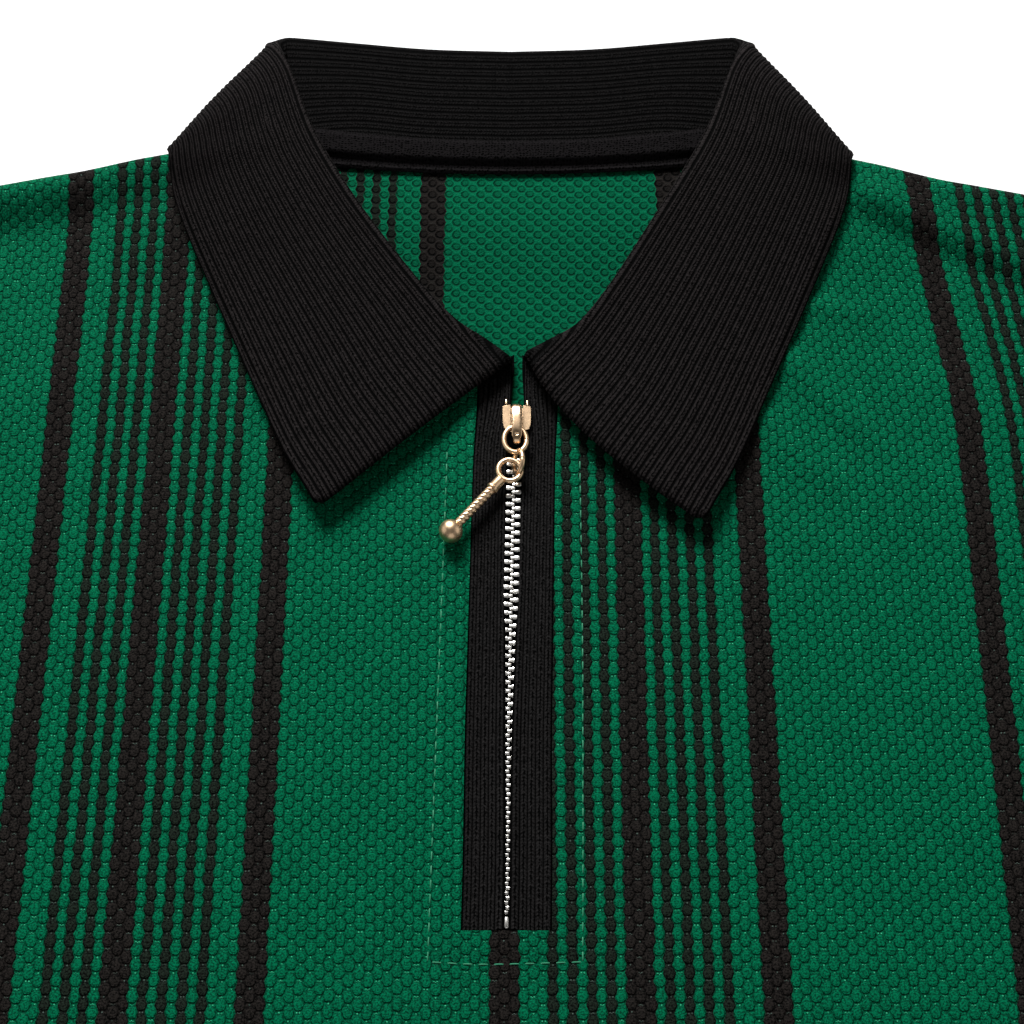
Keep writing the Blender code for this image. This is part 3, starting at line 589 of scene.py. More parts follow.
def threadMaterial(name, color):
    # spun polyester thread: soft shine across its twist, a turn in 0.35 mm
    material, tree, shader = newMaterial(name)
    place = addNode(tree, "ShaderNodeTexCoord").outputs["Object"]
    turns = 2 * math.pi / 20 * perMetre(0.349)
    twist = addNode(tree, "ShaderNodeTexWave", {"Vector": place, "Scale": turns, "Distortion": 1.5})
    bump = addNode(tree, bumpNode, {"Height": twist, "Strength": 0.6, "Distance": 0.0001})
    shader.inputs["Base Color"].default_value = hexColor(color)
    shader.inputs["Roughness"].default_value = 0.7
    tree.links.new(bump.outputs[0], shader.inputs["Normal"])
    return material


backStripes = -27.3, -14, ((9.5, -3),)
knitFront = bubbleKnitMaterial("striped bubble knit front", -1.6, 14, ((-47.5, -2),))
knitBack = bubbleKnitMaterial("striped bubble knit back", *backStripes)
knitInside = bubbleKnitMaterial("bubble knit wrong side", *backStripes, wrongSide=True)
knitSleeve = bubbleKnitMaterial("striped bubble knit sleeve", -40.0, 14, ())
collarRib = ribKnitMaterial("black collar rib", 3.0, 1.1, "#221f1f", "#010101")
# the stand gets a darker copy of the rib, with less relief and stronger loops; its darker colour is
# painted shade
standRibShaded = ribKnitMaterial("black collar rib in painted shade", 3.0, 1.1, "#141313", "#010101", 0.3, 0.3)
tapeRib = ribKnitMaterial("black ribbed tape", 2.3, 1.1, "#1f1e1e", "#010101", 0.35)
neckKnit = netKnitMaterial("black net jersey", 1.0, "#141213", "#020202")
goldPlate = metalMaterial("pale gold plated zinc", "#ecc9a2", 0.22, 0.003)
goldCast = metalMaterial("pale gold plated casting", "#ecc9a2", 0.36, 0.004)
pressedMetal = metalMaterial("bright pressed aluminium", "#efece6", 0.3, 0.004)
greenThread = threadMaterial("green polyester thread", "#1f7a57")
print("materials made")

# front and back panels
panels = {
    "fineStep": 2.7,
    "coarseStep": 5.0,
    "backStep": 4.2,
    "fineHalf": 172.0,  # the middle of the front, which is looked at closely, has the finer grid
    "fineFrom": -175.0,
    "armInner": 222.0,
    # columns closer together at the edge of the doubled cloth and at the neck point
    "zipColumns": (21.4, 22.4, 23.4, 24.4),
    "neckColumns": (76.0, 78.5, 80.5, 82.2, 83.6, 84.8, 85.8, 86.8, 88.2),
    "neckHalf": 86.8,
    "rollInsets": (0, 0.12, 0.5, 1.1, 1.9, 2.9, 4.1, 5.6, 7.6, 10.2),
    "slotInsets": (0, 0.9, 1.9, 3.2),
    # the front's and the back's neck edge: x and y
    "neckline": (
        (0, 44.2), (13.7, 44.3), (24, 47.3), (38, 54.3), (54, 67.8), (69, 87.8), (79, 108.8),
        (84.3, 124.3), (85.3, 134), (86.8, 141.0),
    ),
    "backNeckline": ((0, 143.4), (30, 144.1), (57, 146.4), (81, 142.4), (86.8, 140.8)),
    "hemFold": 22.0,  # turned up this far
    "drawn": 10.8,  # near the right shoulder the cloth is drawn in so far
    "hemRise": 0.5,
    "allowance": 22.8,  # beside and below the zip the cloth lies double as far as this
    "allowanceFoot": -149.0,
    "allowanceRise": 0.5,
    # a fold runs from the collar's corner down to the right: two points, fall across, height
    "shoulderFold": (100.0, 126.0, 175.0, 90.5, 9.5, 5.6),
    # it comes out from under the collar here, and has run out there: place, over so much
    "foldStart": (116.0, 8.0),
    "foldEnd": (250.0, 90.0),
}
# each from one point to another, its height in the middle and its half width
frontCreases = (
    (86, 82, 130, 72, 1.5, 3.4),
    (82, 73, 126, 17, 2.6, 4.8),
    (73, 50, 110, 0, 1.8, 5.5),
    (120, 60, 190, 20, 1.1, 12),
    (100, 30, 186, -26, 0.8, 14),
    (-104, 70, -190, 20, 0.8, 14),
    (-140, -150, -60, -420, 0.9, 22),
    (150, -180, 90, -470, 1.0, 24),
    (230, -130, 120, -250, 1.1, 20),
    (-236, -120, -130, -230, 1.1, 20),
    (20, -300, 60, -520, 0.8, 20),
)


def steps(start, stop, size):
    count = max(1, round(abs(stop - start) / size))
    return list(np.linspace(start, stop, count + 1)[1:])


def halfColumns(fine, slot):
    found = [0.0]
    if slot:
        found += steps(0, zipLine["slotHalf"], fine)
        found += [zipLine["slotHalf"] + inset for inset in panels["slotInsets"][1:]]
        found += steps(found[-1], panels["zipColumns"][0], fine) + list(panels["zipColumns"][1:])
    found += steps(found[-1], panels["neckColumns"][0], fine) + list(panels["neckColumns"][1:])
    found += steps(found[-1], panels["fineHalf"], fine)
    found += steps(found[-1], panels["armInner"], max(fine, panels["coarseStep"]))
    return found


def panelGrid(front, fine):
    # rows from the hem to the shoulder, columns from side to side
    sideSpan = cut["armpit"][0]
    half = halfColumns(fine, front)
    coarse = max(fine, panels["coarseStep"])
    # beyond this column all of them draw in with the armhole
    inner = half[-1]
    half += steps(inner, sideSpan - panels["rollInsets"][-1], coarse)[:-1]
    half += [sideSpan - inset for inset in panels["rollInsets"][::-1]]
    offsets = np.array([-h for h in half[:0:-1]] + half)
    hemY, armpitY = cut["hemCorner"][1], cut["armpit"][1]
    lower = [hemY, hemY + 1.2, hemY + 3] + steps(hemY + 3, panels["fineFrom"], coarse)
    if front:
        bottom = zipLine["bottom"]
        lower += steps(lower[-1], bottom - 4, fine) + [bottom - i for i in panels["slotInsets"][::-1]]
        lower += steps(bottom, armpitY, fine)
    else:
        lower += steps(lower[-1], armpitY, fine)
    rise = cut["neckPoint"][1] - armpitY
    upper = [1 - i / rise for i in steps(rise, panels["rollInsets"][-1], fine)]
    upper += [1 - i / rise for i in panels["rollInsets"][-2::-1]]
    arm = spline(cut["armhole"], 10)
    neckline = np.array(panels["neckline" if front else "backNeckline"], float)
    rows, flatY = [], []
    for y in lower:
        t = (y - hemY) / (armpitY - hemY)
        sideX = cut["hemCorner"][0] + (cut["armpit"][0] - cut["hemCorner"][0]) * t
        x = spread(offsets, inner, sideSpan, sideX)
        rows.append(np.stack([x, np.full(len(x), y)], -1))
    for t in upper:
        sideY = armpitY + t * (cut["shoulderTip"][1] - armpitY)
        sideX = np.interp(sideY, arm[:, 1], arm[:, 0]) - cut["seam"] / 2
        x = spread(offsets, inner, sideSpan, sideX)
        share = np.clip((np.abs(x) - inner) / max(sideX - inner, 1), -5, 1)
        neck = np.interp(np.abs(offsets), neckline[:, 0], neckline[:, 1])
        top = np.where(np.abs(offsets) <= panels["neckHalf"], neck, shoulderY(x))
        fall = (cut["shoulderTip"][1] - shoulderY(inner)) * share
        top = np.where(np.abs(offsets) > inner, shoulderY(inner) + fall, top)
        rows.append(np.stack([x, armpitY + t * (top - armpitY)], -1))
    return offsets, np.array(rows), len(lower)


def spread(offsets, inner, sideSpan, sideX):
    size = np.abs(offsets)
    outer = inner + (size - inner) * (sideX - inner) / (sideSpan - inner)
    return np.sign(offsets) * np.where(size > inner, outer, size)


def frontRelief(x, y):
    # creases, the turned-up hem and the double cloth round the zip
    settled = smooth((edgeDistance(x, y) - 6) / 20)
    relief = np.maximum(creaseHeight(x, y, frontCreases), -0.25) * settled
    relief += panels["hemRise"] * smooth((cut["hemCorner"][1] + panels["hemFold"] - y) / 2.0)
    beside = smooth((panels["allowance"] - np.abs(x - zipX(y))) / 1.5)
    relief += panels["allowanceRise"] * beside * smooth((y - panels["allowanceFoot"]) / 1.5)
    x0, y0, x1, y1, fall, height = panels["shoulderFold"]
    below = ((x - x0) * (y1 - y0) - (y - y0) * (x1 - x0)) / math.hypot(x1 - x0, y1 - y0)
    (start, startOver), (end, endOver) = panels["foldStart"], panels["foldEnd"]
    upper = 1 - smooth((below + fall / 2) / fall)
    upper *= smooth((x - start) / startOver) * smooth((end - x) / endOver)
    return relief + height * upper * (1 - beadShare(x, edgeDistance(x, y), rollRadius(x, y)))


def panelPoints(front, fine):
    offsets, plan, lowerCount = panelGrid(front, fine)
    x, y = plan[..., 0].copy(), plan[..., 1]
    if front:
        # the columns near the zip lean with it
        reach, over = zipLine["follow"]
        x += smooth((reach - np.abs(offsets)) / over) * zipX(y)
    z = frontHeight(x, y) + frontRelief(x, y) if front else backHeight(x, y)
    middle = cut["backMid"] + collarLift(x, y) + rollRadius(x, y)
    gap = cut["seam"] / 2 if front else -cut["seam"] / 2
    # both edges of a seam lie at half height, but the neckline isn't rolled
    shoulder = np.abs(offsets) > panels["neckHalf"]
    z[-1, shoulder] = middle[-1, shoulder] + gap
    for column in (0, -1):
        z[:lowerCount, column] = middle[:lowerCount, column] + gap
    return offsets, x, y, z


def clothPlace(x, y, front):
    # the cloth's own coordinates: those of the plan, with the length that a rolled edge takes
    radius = rollRadius(x, y)
    distance = np.clip(edgeDistance(x, y), 0, None)
    left = np.clip(radius - distance, 0, radius)
    extra = radius * np.arcsin(left / radius) - left
    step = 0.5
    gx = (edgeDistance(x + step, y) - edgeDistance(x - step, y)) / (2 * step)
    gy = (edgeDistance(x, y + step) - edgeDistance(x, y - step)) / (2 * step)
    size = np.maximum(np.hypot(gx, gy), 0.5)
    drawn = panels["drawn"] * smooth((y - 20) / 120) * smooth((x - 60) / 70) * front
    return np.stack([x - extra * gx / size + drawn, y - extra * gy / size], -1)


def buildPanel(front):
    offsets, x, y, z = panelPoints(front, panels["fineStep" if front else "backStep"])
    uv = clothPlace(x, y, front)
    keep = None
    if front:
        middle = np.abs((offsets[:-1] + offsets[1:]) / 2) < zipLine["slotHalf"]
        above = (y[:-1, :-1] + y[1:, :-1]) / 2 > zipLine["bottom"]
        keep = ~(middle[None, :] & above)
    points = np.stack([x, y, z], -1)
    if not front:
        points, uv = points[:, ::-1], uv[:, ::-1]
    node = "front" if front else "back"
    mesh = gridMesh(node + "_cloth", points, uv, keep=keep)
    materials = [knitFront, knitFront] if front else [knitBack, knitInside]
    piece = addPiece(mesh.name, mesh, materials, "garment", [node])
    thicken(piece, cut["cloth"], 0.7 if front else 0.0, inside=1)
    return piece


frontPiece = buildPanel(True)
backPiece = buildPanel(False)
print("panels made")

# sleeves
sleeves = {
    "rings": 64,
    "across": 46,
    "cuffFold": 22.0,
    "cuffRise": 0.4,
    "underarm": (2.2, 0.4),  # the seam stands off so far there, where the cloth is thickest
}
sleeveCreases = (
    (300, 40, 400, -130, 1.0, 16),
    (400, -40, 420, -190, 1.4, 12),
    (450, -90, 440, -230, 1.3, 12),
    (500, -170, 480, -280, 1.0, 14),
    (262, 20, 300, -110, 1.0, 14),
)


def sleevePoints(side):
    arm = spline(cut["armhole"], 10)
    stations = np.linspace(0, 1, sleeves["rings"])
    top = along(spline(cut["sleeveTop"], 8), stations)
    under = along(spline(cut["sleeveUnder"], 8), stations)
    angles = np.linspace(0, 1, sleeves["across"])
    # ring places are closer together at both edges
    places = (1 - np.cos(angles * math.pi)) / 2 * 0.35 + angles * 0.65
    grid, uv = [], []
    hole = along(arm, places)
    length = runLength(top)
    j = places[:, None]
    cuff = under[-1] + j * (top[-1] - under[-1])
    for k, t in enumerate(stations):
        corners = (1 - t) * ((1 - j) * hole[0] + j * hole[-1]) + t * cuff
        plan = (1 - j) * under[k] + j * top[k] + (1 - t) * hole + t * cuff - corners
        if k == 0:
            plan = plan + np.array([cut["seam"] / 2, 0])
            plan = plan + np.exp(-places * 30)[:, None] * np.array(sleeves["underarm"])
        x, y = plan[:, 0], plan[:, 1]
        settled = smooth((edgeDistance(x, y) - 4) / 16)
        ridge = np.maximum(creaseHeight(x, y, sleeveCreases), 0) * settled
        rise = sleeves["cuffRise"] * smooth((sleeves["cuffFold"] - (length[-1] - length[k])) / 2.0)
        over = np.stack([x, y, frontHeight(x, y) + ridge + rise * settled], -1)
        for m in (0, -1):
            over[m, 2] = cut["backMid"] + rollRadius(x[m], y[m]) + collarLift(x[m], y[m])
        below = np.stack([x, y, backHeight(x, y)], -1)[1:-1][::-1]
        ring = np.concatenate([over, below])
        run = runLength(np.vstack([ring, ring[:1]]))
        across = run - run[len(over) - 1]
        grid.append(ring)
        uv.append(np.stack([across, np.full(len(run), -length[k])], -1))
    points, uv = np.array(grid), np.array(uv)
    points[..., 0] *= side
    return points, uv


def buildSleeve(side, word):
    points, uv = sleevePoints(side)
    if side > 0:
        points = np.concatenate([points[:, :1], points[:, :0:-1]], 1)
        uv = uv[:, ::-1]
    mesh = gridMesh("sleeve_cloth_" + word, points, uv, closed=True)
    piece = addPiece(mesh.name, mesh, [knitSleeve], "garment", ["sleeve_" + word])
    thicken(piece, cut["cloth"], 0.6)


for side, word in ((-1, "left"), (1, "right")):
    buildSleeve(side, word)
print("sleeves made")

# collar: one row for each station along it, from the front edge round to the middle of the
# back. The wall turns from lying on the front (90) over the shoulder to hanging behind (-90);
# seam, fold and edge are points across it, rise lifts the edge and gone counts run-out ribs
collar = {
    "columns": ("turn", "seamX", "seamY", "foldX", "foldY", "foldZ", "edgeX", "edgeY", "rise", "gone"),
    "stations": (
        (90, 12.6, 44.5, 0.95, 53.8, 7.6, 62.4, -5.6, 5.6, 2.5),
        (90, 24, 47.5, 8.9, 59.8, 7.8, 66.8, 2.6, 4.6, 1.8),
        (90, 38, 54.5, 19.2, 66.5, 8.2, 75.2, 17.4, 2.8, 0.55),
        (90, 54, 68, 31, 80.4, 9.0, 87, 43.5, 1.1, 0),
        (90, 69, 88, 46.5, 103.9, 10.2, 101.5, 76.4, 0.4, 0),
        (90, 79, 109, 58.4, 123.6, 11.0, 113.6, 104, 0.6, 0),
        (90, 84.0, 124.5, 70.5, 146.3, 11.6, 118.5, 118.6, 1.4, 0),
        (90, 84.8, 134, 80, 171, 11.8, 120.0, 129.6, 1.3, 0),
        (60, 85.0, 139.7, 84.2, 181, 10.4, 120.4, 132.6, 1.0, 0),
        (30, 85.0, 141.1, 86.2, 184.6, 9.0, 120.4, 134.8, 0.8, 0),
        (0, 84.9, 141.7, 86.8, 186.6, 7.4, 120.4, 135.6, 0.5, 0),
        (-30, 84.9, 141.6, 86.2, 188.4, 5.8, 120.4, 134.8, 0, 0),
        (-60, 84.4, 141.4, 84, 190, 4.3, 120.7, 133.6, 0, 0),
        (-90, 81, 143, 79, 190.8, 3.4, 120.0, 130.5, 0, 0),
        (-90, 57, 146.8, 57, 188.4, 3.4, 80, 123.5, 0, 0),
        (-90, 30, 144.3, 30, 185.6, 3.4, 40, 120.5, 0, 0),
        (-90, 0, 143.4, 0, 184.5, 3.4, 0, 119.5, 0, 0),
    ),
    "thick": 2.4,
    "foldRoll": 2.2,
    "leafClearance": 1.7,
    "standRibs": 12,
    "foldRibs": 2,
    "leafRibs": 24,
    "samples": 5,  # points across each rib
    "ribDepth": 0.3,
    "ribPitch": 3.0,
    "between": 5,  # stations made between each two of the table
    "camber": 0.9,
    "cornerRadius": 4.6,
    "lip": 1.3,
    "uneven": 1.2,  # the right front corner is so much higher than its place, the left one lower
    "unevenOver": 25.0,
    "tip": (0.0, -2.3),  # the right leaf's tip hangs further down
    "tipOver": 45.0,
    "bulge": (-3.1, -5.4),  # the right leaf's front edge swells out so much
    "bulgeOver": 34.0,
}


def zipLean(foldX, turn):
    return np.where(turn < 90, 0.0, zipX(50.0) * smooth((62 - foldX) / 55))


def collarLine(row, side):
    # middle of the collar's wall at one station, from seam over the fold to the edge, with
    # the rib number that each point has
    s, t = collar, math.radians(row["turn"])
    up, out = math.sin(t), math.cos(t)
    lean = float(zipLean(row["foldX"], round(row["turn"], 3)))
    seamXY = np.array([row["seamX"] * side + lean, row["seamY"]])
    foldXY = np.array([row["foldX"] * side + lean, row["foldY"]])
    edgeXY = np.array([row["edgeX"] * side, row["edgeY"]])
    at = np.array([row["seamX"], min(row["seamY"], cut["neckPoint"][1] - cut["neckRoll"])])
    high, low = frontHeight(*at), backHeight(*at) + (s["thick"] - cut["cloth"]) / 2
    seam = np.array([*seamXY, (high + low) / 2 + (high - low) / 2 * up])
    forward = np.array([*unit(foldXY - seamXY), 0])
    normal = np.array([side * out, 0, up])
    normal = unit(normal - forward * (normal @ forward))
    centre = np.array([*foldXY, row["foldZ"]]) - forward * (s["foldRoll"] + s["thick"] / 2)
    foldCount = s["foldRibs"] * s["samples"]
    a = np.radians(np.linspace(-90, 90, foldCount + 1))[:, None]
    roll = centre + s["foldRoll"] * (np.sin(a) * normal + np.cos(a) * forward)
    inner = row["edgeX"], min(row["edgeY"], float(shoulderY(row["edgeX"])) - cut["neckRoll"])
    gap = cut["cloth"] / 2 + cut["seam"] + s["thick"] / 2
    over, under = frontHeight(*inner, above=gap) + row["rise"], s["thick"] / 2
    edge = np.array([*edgeXY, (over + under) / 2 + (over - under) / 2 * up])
    standT = np.linspace(0, 1, s["standRibs"] * s["samples"] + 1)[:-1, None]
    stand = seam + (roll[0] - seam) * standT
    leafT = np.linspace(0, 1, s["leafRibs"] * s["samples"] + 1)[1:, None]
    leaf = roll[-1] + (edge - roll[-1]) * leafT
    leaf = leaf + normal * s["camber"] * np.sin(leafT * math.pi) ** 1.5
    if up > 0.15:
        floor = frontHeight(leaf[:, 0], leaf[:, 1], above=gap)
        clear = edgeDistance(leaf[:, 0], leaf[:, 1]) > -gap
        lowest = floor + s["leafClearance"] * smooth((1 - leafT[:, 0]) / 0.06)
        leaf[:, 2] = np.where(clear, np.maximum(leaf[:, 2], lowest), leaf[:, 2])
    return np.concatenate([stand, roll, leaf])


def collarGrid():
    s = collar
    table = spline(s["stations"], s["between"])
    rows = [dict(zip(s["columns"], values)) for values in table]
    for row in rows:
        row["turn"] = min(90.0, max(-90.0, row["turn"]))
    lines = [collarLine(row, -1) for row in rows]
    lines += [collarLine(row, 1) for row in rows[-2::-1]]
    # so many ribs have run out over the fold, near the front edges
    gone = [max(0, row["gone"]) for row in rows]
    return np.array(lines), np.array(gone + gone[-2::-1])


def gridNormals(points):
    a = np.gradient(points, axis=0)
    b = np.gradient(points, axis=1)
    n = np.cross(b, a)
    return n / np.maximum(np.linalg.norm(n, axis=-1, keepdims=True), 1e-9)


def unit(vector):
    return vector / np.linalg.norm(vector)


def roundCorner(middle, length):
    # the leaf's corner at each front edge is a little round
    r = collar["cornerRadius"]
    for rows in (slice(0, None), slice(None, None, -1)):
        grid = middle[rows]
        inward = np.abs(length[rows] - length[rows][0])
        for k in np.nonzero(inward < r)[0]:
            run = np.linalg.norm(grid[k, -1] - grid[k], axis=1)
            for j in np.nonzero(run < r)[0]:
                arm = np.array([r - inward[k], r - run[j]])
                size = np.hypot(*arm)
                most = max(arm.max(), 1e-6)
                # a square corner's points draw in to the quarter circle
                pull = arm * (1 - most / size)
                forward = unit(grid[k + 1, j] - grid[k, j])
                across = unit(grid[k, j - 1] - grid[k, j])
                grid[k, j] += forward * pull[0] + across * pull[1]


def buildCollar():
    s = collar
    middle, gone = collarGrid()
    count = middle.shape[1]
    rib = np.arange(count) / s["samples"]
    normals = gridNormals(middle)
    length = runLength(middle[:, count // 2])
    fromRight = length[-1] - length
    near = np.minimum(length, fromRight)
    leafShare = np.clip((rib - s["standRibs"] - s["foldRibs"]) / s["leafRibs"], 0, 1)
    onLeaf = smooth((rib - s["standRibs"]) / s["foldRibs"])
    rib = rib[None, :] - gone[:, None] * ((1 - leafShare) * onLeaf)[None, :]
    depth = s["ribDepth"] * (0.4 + 0.6 * onLeaf) * (0.4 - np.cos(rib * math.pi) ** 2)
    swell = np.clip(1 - fromRight / s["bulgeOver"], 0, 1) ** 2
    swell = swell[:, None] * np.sin(leafShare**0.7 * math.pi)
    middle[..., :2] += swell[..., None] * np.array(s["bulge"])
    hang = np.clip(1 - fromRight / s["tipOver"], 0, 1)[:, None] * leafShare
    middle[..., :2] += hang[..., None] * np.array(s["tip"])
    hook = np.clip(1 - near / s["unevenOver"], 0, 1) ** 2 * np.sign(length - length[-1] / 2)
    middle[..., 1] += s["uneven"] * hook[:, None] * (1 - leafShare)
    # the wall's ends come together in a round lip at the front edges
    lip = np.sqrt(np.clip(1 - (1 - np.clip(near / s["lip"], 0, 1)) ** 2, 0.03, 1))
    roundCorner(middle, length)
    half = (s["thick"] / 2 + depth)[..., None] * lip[:, None, None]
    over, under = middle + normals * half, middle - normals * half
    ring = np.concatenate([over, under[:, ::-1]], 1)
    runs = np.concatenate([rib, rib[:, ::-1], rib[:, :1]], 1) * s["ribPitch"]
    uv = np.stack(np.broadcast_arrays(runs, length[:, None]), -1)
    mesh = gridMesh("collar_rib", ring, uv, closed=True)
    bm = bmesh.new()
    bm.from_mesh(mesh)
    bmesh.ops.holes_fill(bm, edges=[e for e in bm.edges if e.is_boundary], sides=0)
    bmesh.ops.recalc_face_normals(bm, faces=bm.faces)
    bm.to_mesh(mesh)
    bm.free()
    mesh.shade_smooth()
    piece = addPiece("collar_rib", mesh, [collarRib, standRibShaded], "garment", ["collar"])
    # the stand gets the darker copy of the rib, painted shade
    places = mesh.uv_layers[0].data
    across = np.array([np.mean([places[i].uv[0] for i in p.loop_indices]) for p in mesh.polygons])
    onStand = across < (s["standRibs"] + 0.5) * s["ribPitch"] * 0.001
    mesh.polygons.foreach_set("material_index", onStand.astype(np.int32))


buildCollar()
print("collar made")

# tape over the back neck seam
neckTape = {
    "half": 76.0,
    "top": 143.9,
    "bottom": 129.9,
    "z": 6.05,
    "thick": 1.0,
    "bow": 4.4,
    "bowAt": 62.0,
    "bandRise": 2.4,
    "lipRise": 0.9,
    "sunk": 0.7,
}


def buildNeckTape():
    s = neckTape
    across = np.linspace(-s["half"], s["half"], 90)
    t = np.linspace(0, 1, 40)
    x, share = np.meshgrid(across, t, indexing="ij")
    bow = s["bow"] * np.minimum(np.abs(x) / s["bowAt"], 1.08) ** 2
    y = s["top"] + (s["bottom"] - s["top"]) * share + bow * (1 - 0.3 * share)
    # a soft padded band, a gap and a thin edge
    band = smooth(share / 0.22) * smooth((0.76 - share) / 0.16)
    lip = np.exp(-(((share - 0.94) / 0.04) ** 2))
    z = s["z"] + s["bandRise"] * band + s["lipRise"] * lip - s["sunk"]
    uv = np.stack([share * (s["top"] - s["bottom"]), x], -1)
    mesh = gridMesh("neck_tape_knit", np.stack([x, y, z], -1), uv)
    piece = addPiece("neck_tape_knit", mesh, [neckKnit], "garment", ["neck_tape"])
    thicken(piece, s["thick"], 0.3)


buildNeckTape()

# zip
zipParts = {
    "tapeOuter": 13.3,
    "tapeInner": 0.35,
    "openFrom": 24.0,  # above the slider the tapes part
    "openTo": 37.0,
    "openHalf": 2.2,
    "tapeTop": 58.0,
    "tapeSlant": 10.0,
    "tapeThick": 1.0,
    "ribs": 5,
    "ribPitch": 2.3,
    "ribRise": 0.45,
    "drawIn": 2.2,  # the ribs draw in so much towards the neck
    "cover": (0.35, 1.25, 2.6),  # the tape's rise beside the teeth, at the top, more below, width
    "chainTop": 2.55,  # half of the teeth's width that shows at the top and at the foot
    "chainFoot": 1.05,
    "toothPitch": 2.92,
    "teethTop": 19.0,
    "teethBottom": -135.0,
    # each tooth is a broad foot on its tape and a narrower head between the other row's
    "foot": (1.7, 1.4, 1.9),
    "footAt": 1.6,
    "head": (1.7, 1.0, 1.6),
    "headAt": 0.4,
    "toothRise": 0.95,
    "toothEdge": 0.14,
    "stop": (-139.0, -135.4),
    "stopSize": (1.5, 1.6),
    "stopZ": 4.1,
    "stopEdge": 0.5,
}


def buildZipTape(side, word):
    s = zipParts
    foot = zipLine["bottom"] + cut["seam"]
    t = np.linspace(0, 1, 150)
    # under the teeth, up beside them, then the ribs
    under = np.array([0, 0.45, 0.9, 1.0])
    ribbed = np.linspace(0, 1, s["ribs"] * 8 + 1)[1:]
    tt, jj = np.meshgrid(t, np.arange(len(under) + len(ribbed)), indexing="ij")
    y = foot + (s["tapeTop"] - foot) * tt
    closing = smooth((12 - y) / 125)
    chain = s["chainTop"] + (s["chainFoot"] - s["chainTop"]) * closing
    opening = smooth((y - s["openFrom"]) / (s["openTo"] - s["openFrom"]))
    opening -= 0.45 * smooth((y - 38) / 16)
    inner = s["tapeInner"] + (s["openHalf"] - s["tapeInner"]) * opening
    lip = np.maximum(chain, inner + 0.3)
    position = np.concatenate([under, 1 + ribbed])[jj]
    share = np.clip(position - 1, 0, 1)
    beside = lip + (s["tapeOuter"] - lip) * share
    offset = np.where(position <= 1, inner + (lip - inner) * position, beside)
    offset = offset - s["drawIn"] * smooth((y - 22) / 26) * np.sin(share * math.pi)
    # the top is cut at a slant
    y = y - s["tapeSlant"] * np.clip(offset / s["tapeOuter"], 0, 1) * tt**6
    ribs = np.abs(np.sin(share * s["ribs"] * math.pi)) ** 0.6
    z = zipHeight(y) + s["tapeThick"] / 2 + 0.15 + s["ribRise"] * (ribs - 0.5) * (share > 0)
    cover, more, width = s["cover"]
    bank = np.exp(-((share * (s["tapeOuter"] - lip) / width) ** 2)) * (position >= 1)
    z = z + (cover + more * closing) * bank
    z = z - 0.25 * (position < 0.95)
    x = zipX(y) + side * offset
    uv = np.stack([share * s["ribs"] * s["ribPitch"], y], -1)
    points = np.stack([x, y, z], -1)
    if side < 0:
        points, uv = points[:, ::-1], uv[:, ::-1]
    mesh = gridMesh("tape_knit_" + word, points, uv)
    piece = addPiece(mesh.name, mesh, [tapeRib], "garment", ["zip_tape_" + word])
    thicken(piece, s["tapeThick"], 0.25)


def roundedBox(bm, size, place, bevel):
    # one tooth or block with soft edges
    made = bmesh.ops.create_cube(bm, size=0.001)["verts"]
    bmesh.ops.scale(bm, verts=made, vec=size)
    bmesh.ops.translate(bm, verts=made, vec=place)
    edges = list({e for v in made for e in v.link_edges})
    bmesh.ops.bevel(
        bm, geom=edges, offset=bevel * 0.001, segments=2, profile=0.5, affect="EDGES", clamp_overlap=True
    )


def meshFrom(name, bm):
    mesh = bpy.data.meshes.new(name)
    bm.to_mesh(mesh)
    bm.free()
    mesh.shade_smooth()
    return mesh


def buildTeeth(side, word):
    s = zipParts
    bm = bmesh.new()
    count = int((s["teethTop"] - s["teethBottom"]) / s["toothPitch"])
    for k in range(count):
        y = s["teethBottom"] + 1.0 + (k + (0.5 if side > 0 else 0)) * s["toothPitch"]
        middle, z = float(zipX(y)), float(zipHeight(y)) + s["toothRise"]
        for part in ("foot", "head"):
            place = toWorld((middle + side * s[part + "At"], y, z))
            roundedBox(bm, s[part], place, s["toothEdge"])
    mesh = meshFrom("teeth_" + word, bm)
    addPiece("teeth_" + word, mesh, [pressedMetal], "garment", ["zip_teeth_" + word])


def buildStop():
    s = zipParts
    low, high = s["stop"]
    wide, thick = s["stopSize"]
    bm = bmesh.new()
    y = (low + high) / 2
    place = toWorld((float(zipX(y)), y, s["stopZ"]))
    roundedBox(bm, (wide, high - low, thick), place, s["stopEdge"])
    mesh = meshFrom("stop_crimp", bm)
    addPiece("stop_crimp", mesh, [pressedMetal], "garment", ["zip_stop"])


for side, word in ((-1, "left"), (1, "right")):
    buildZipTape(side, word)
    buildTeeth(side, word)
buildStop()
print("zip made")

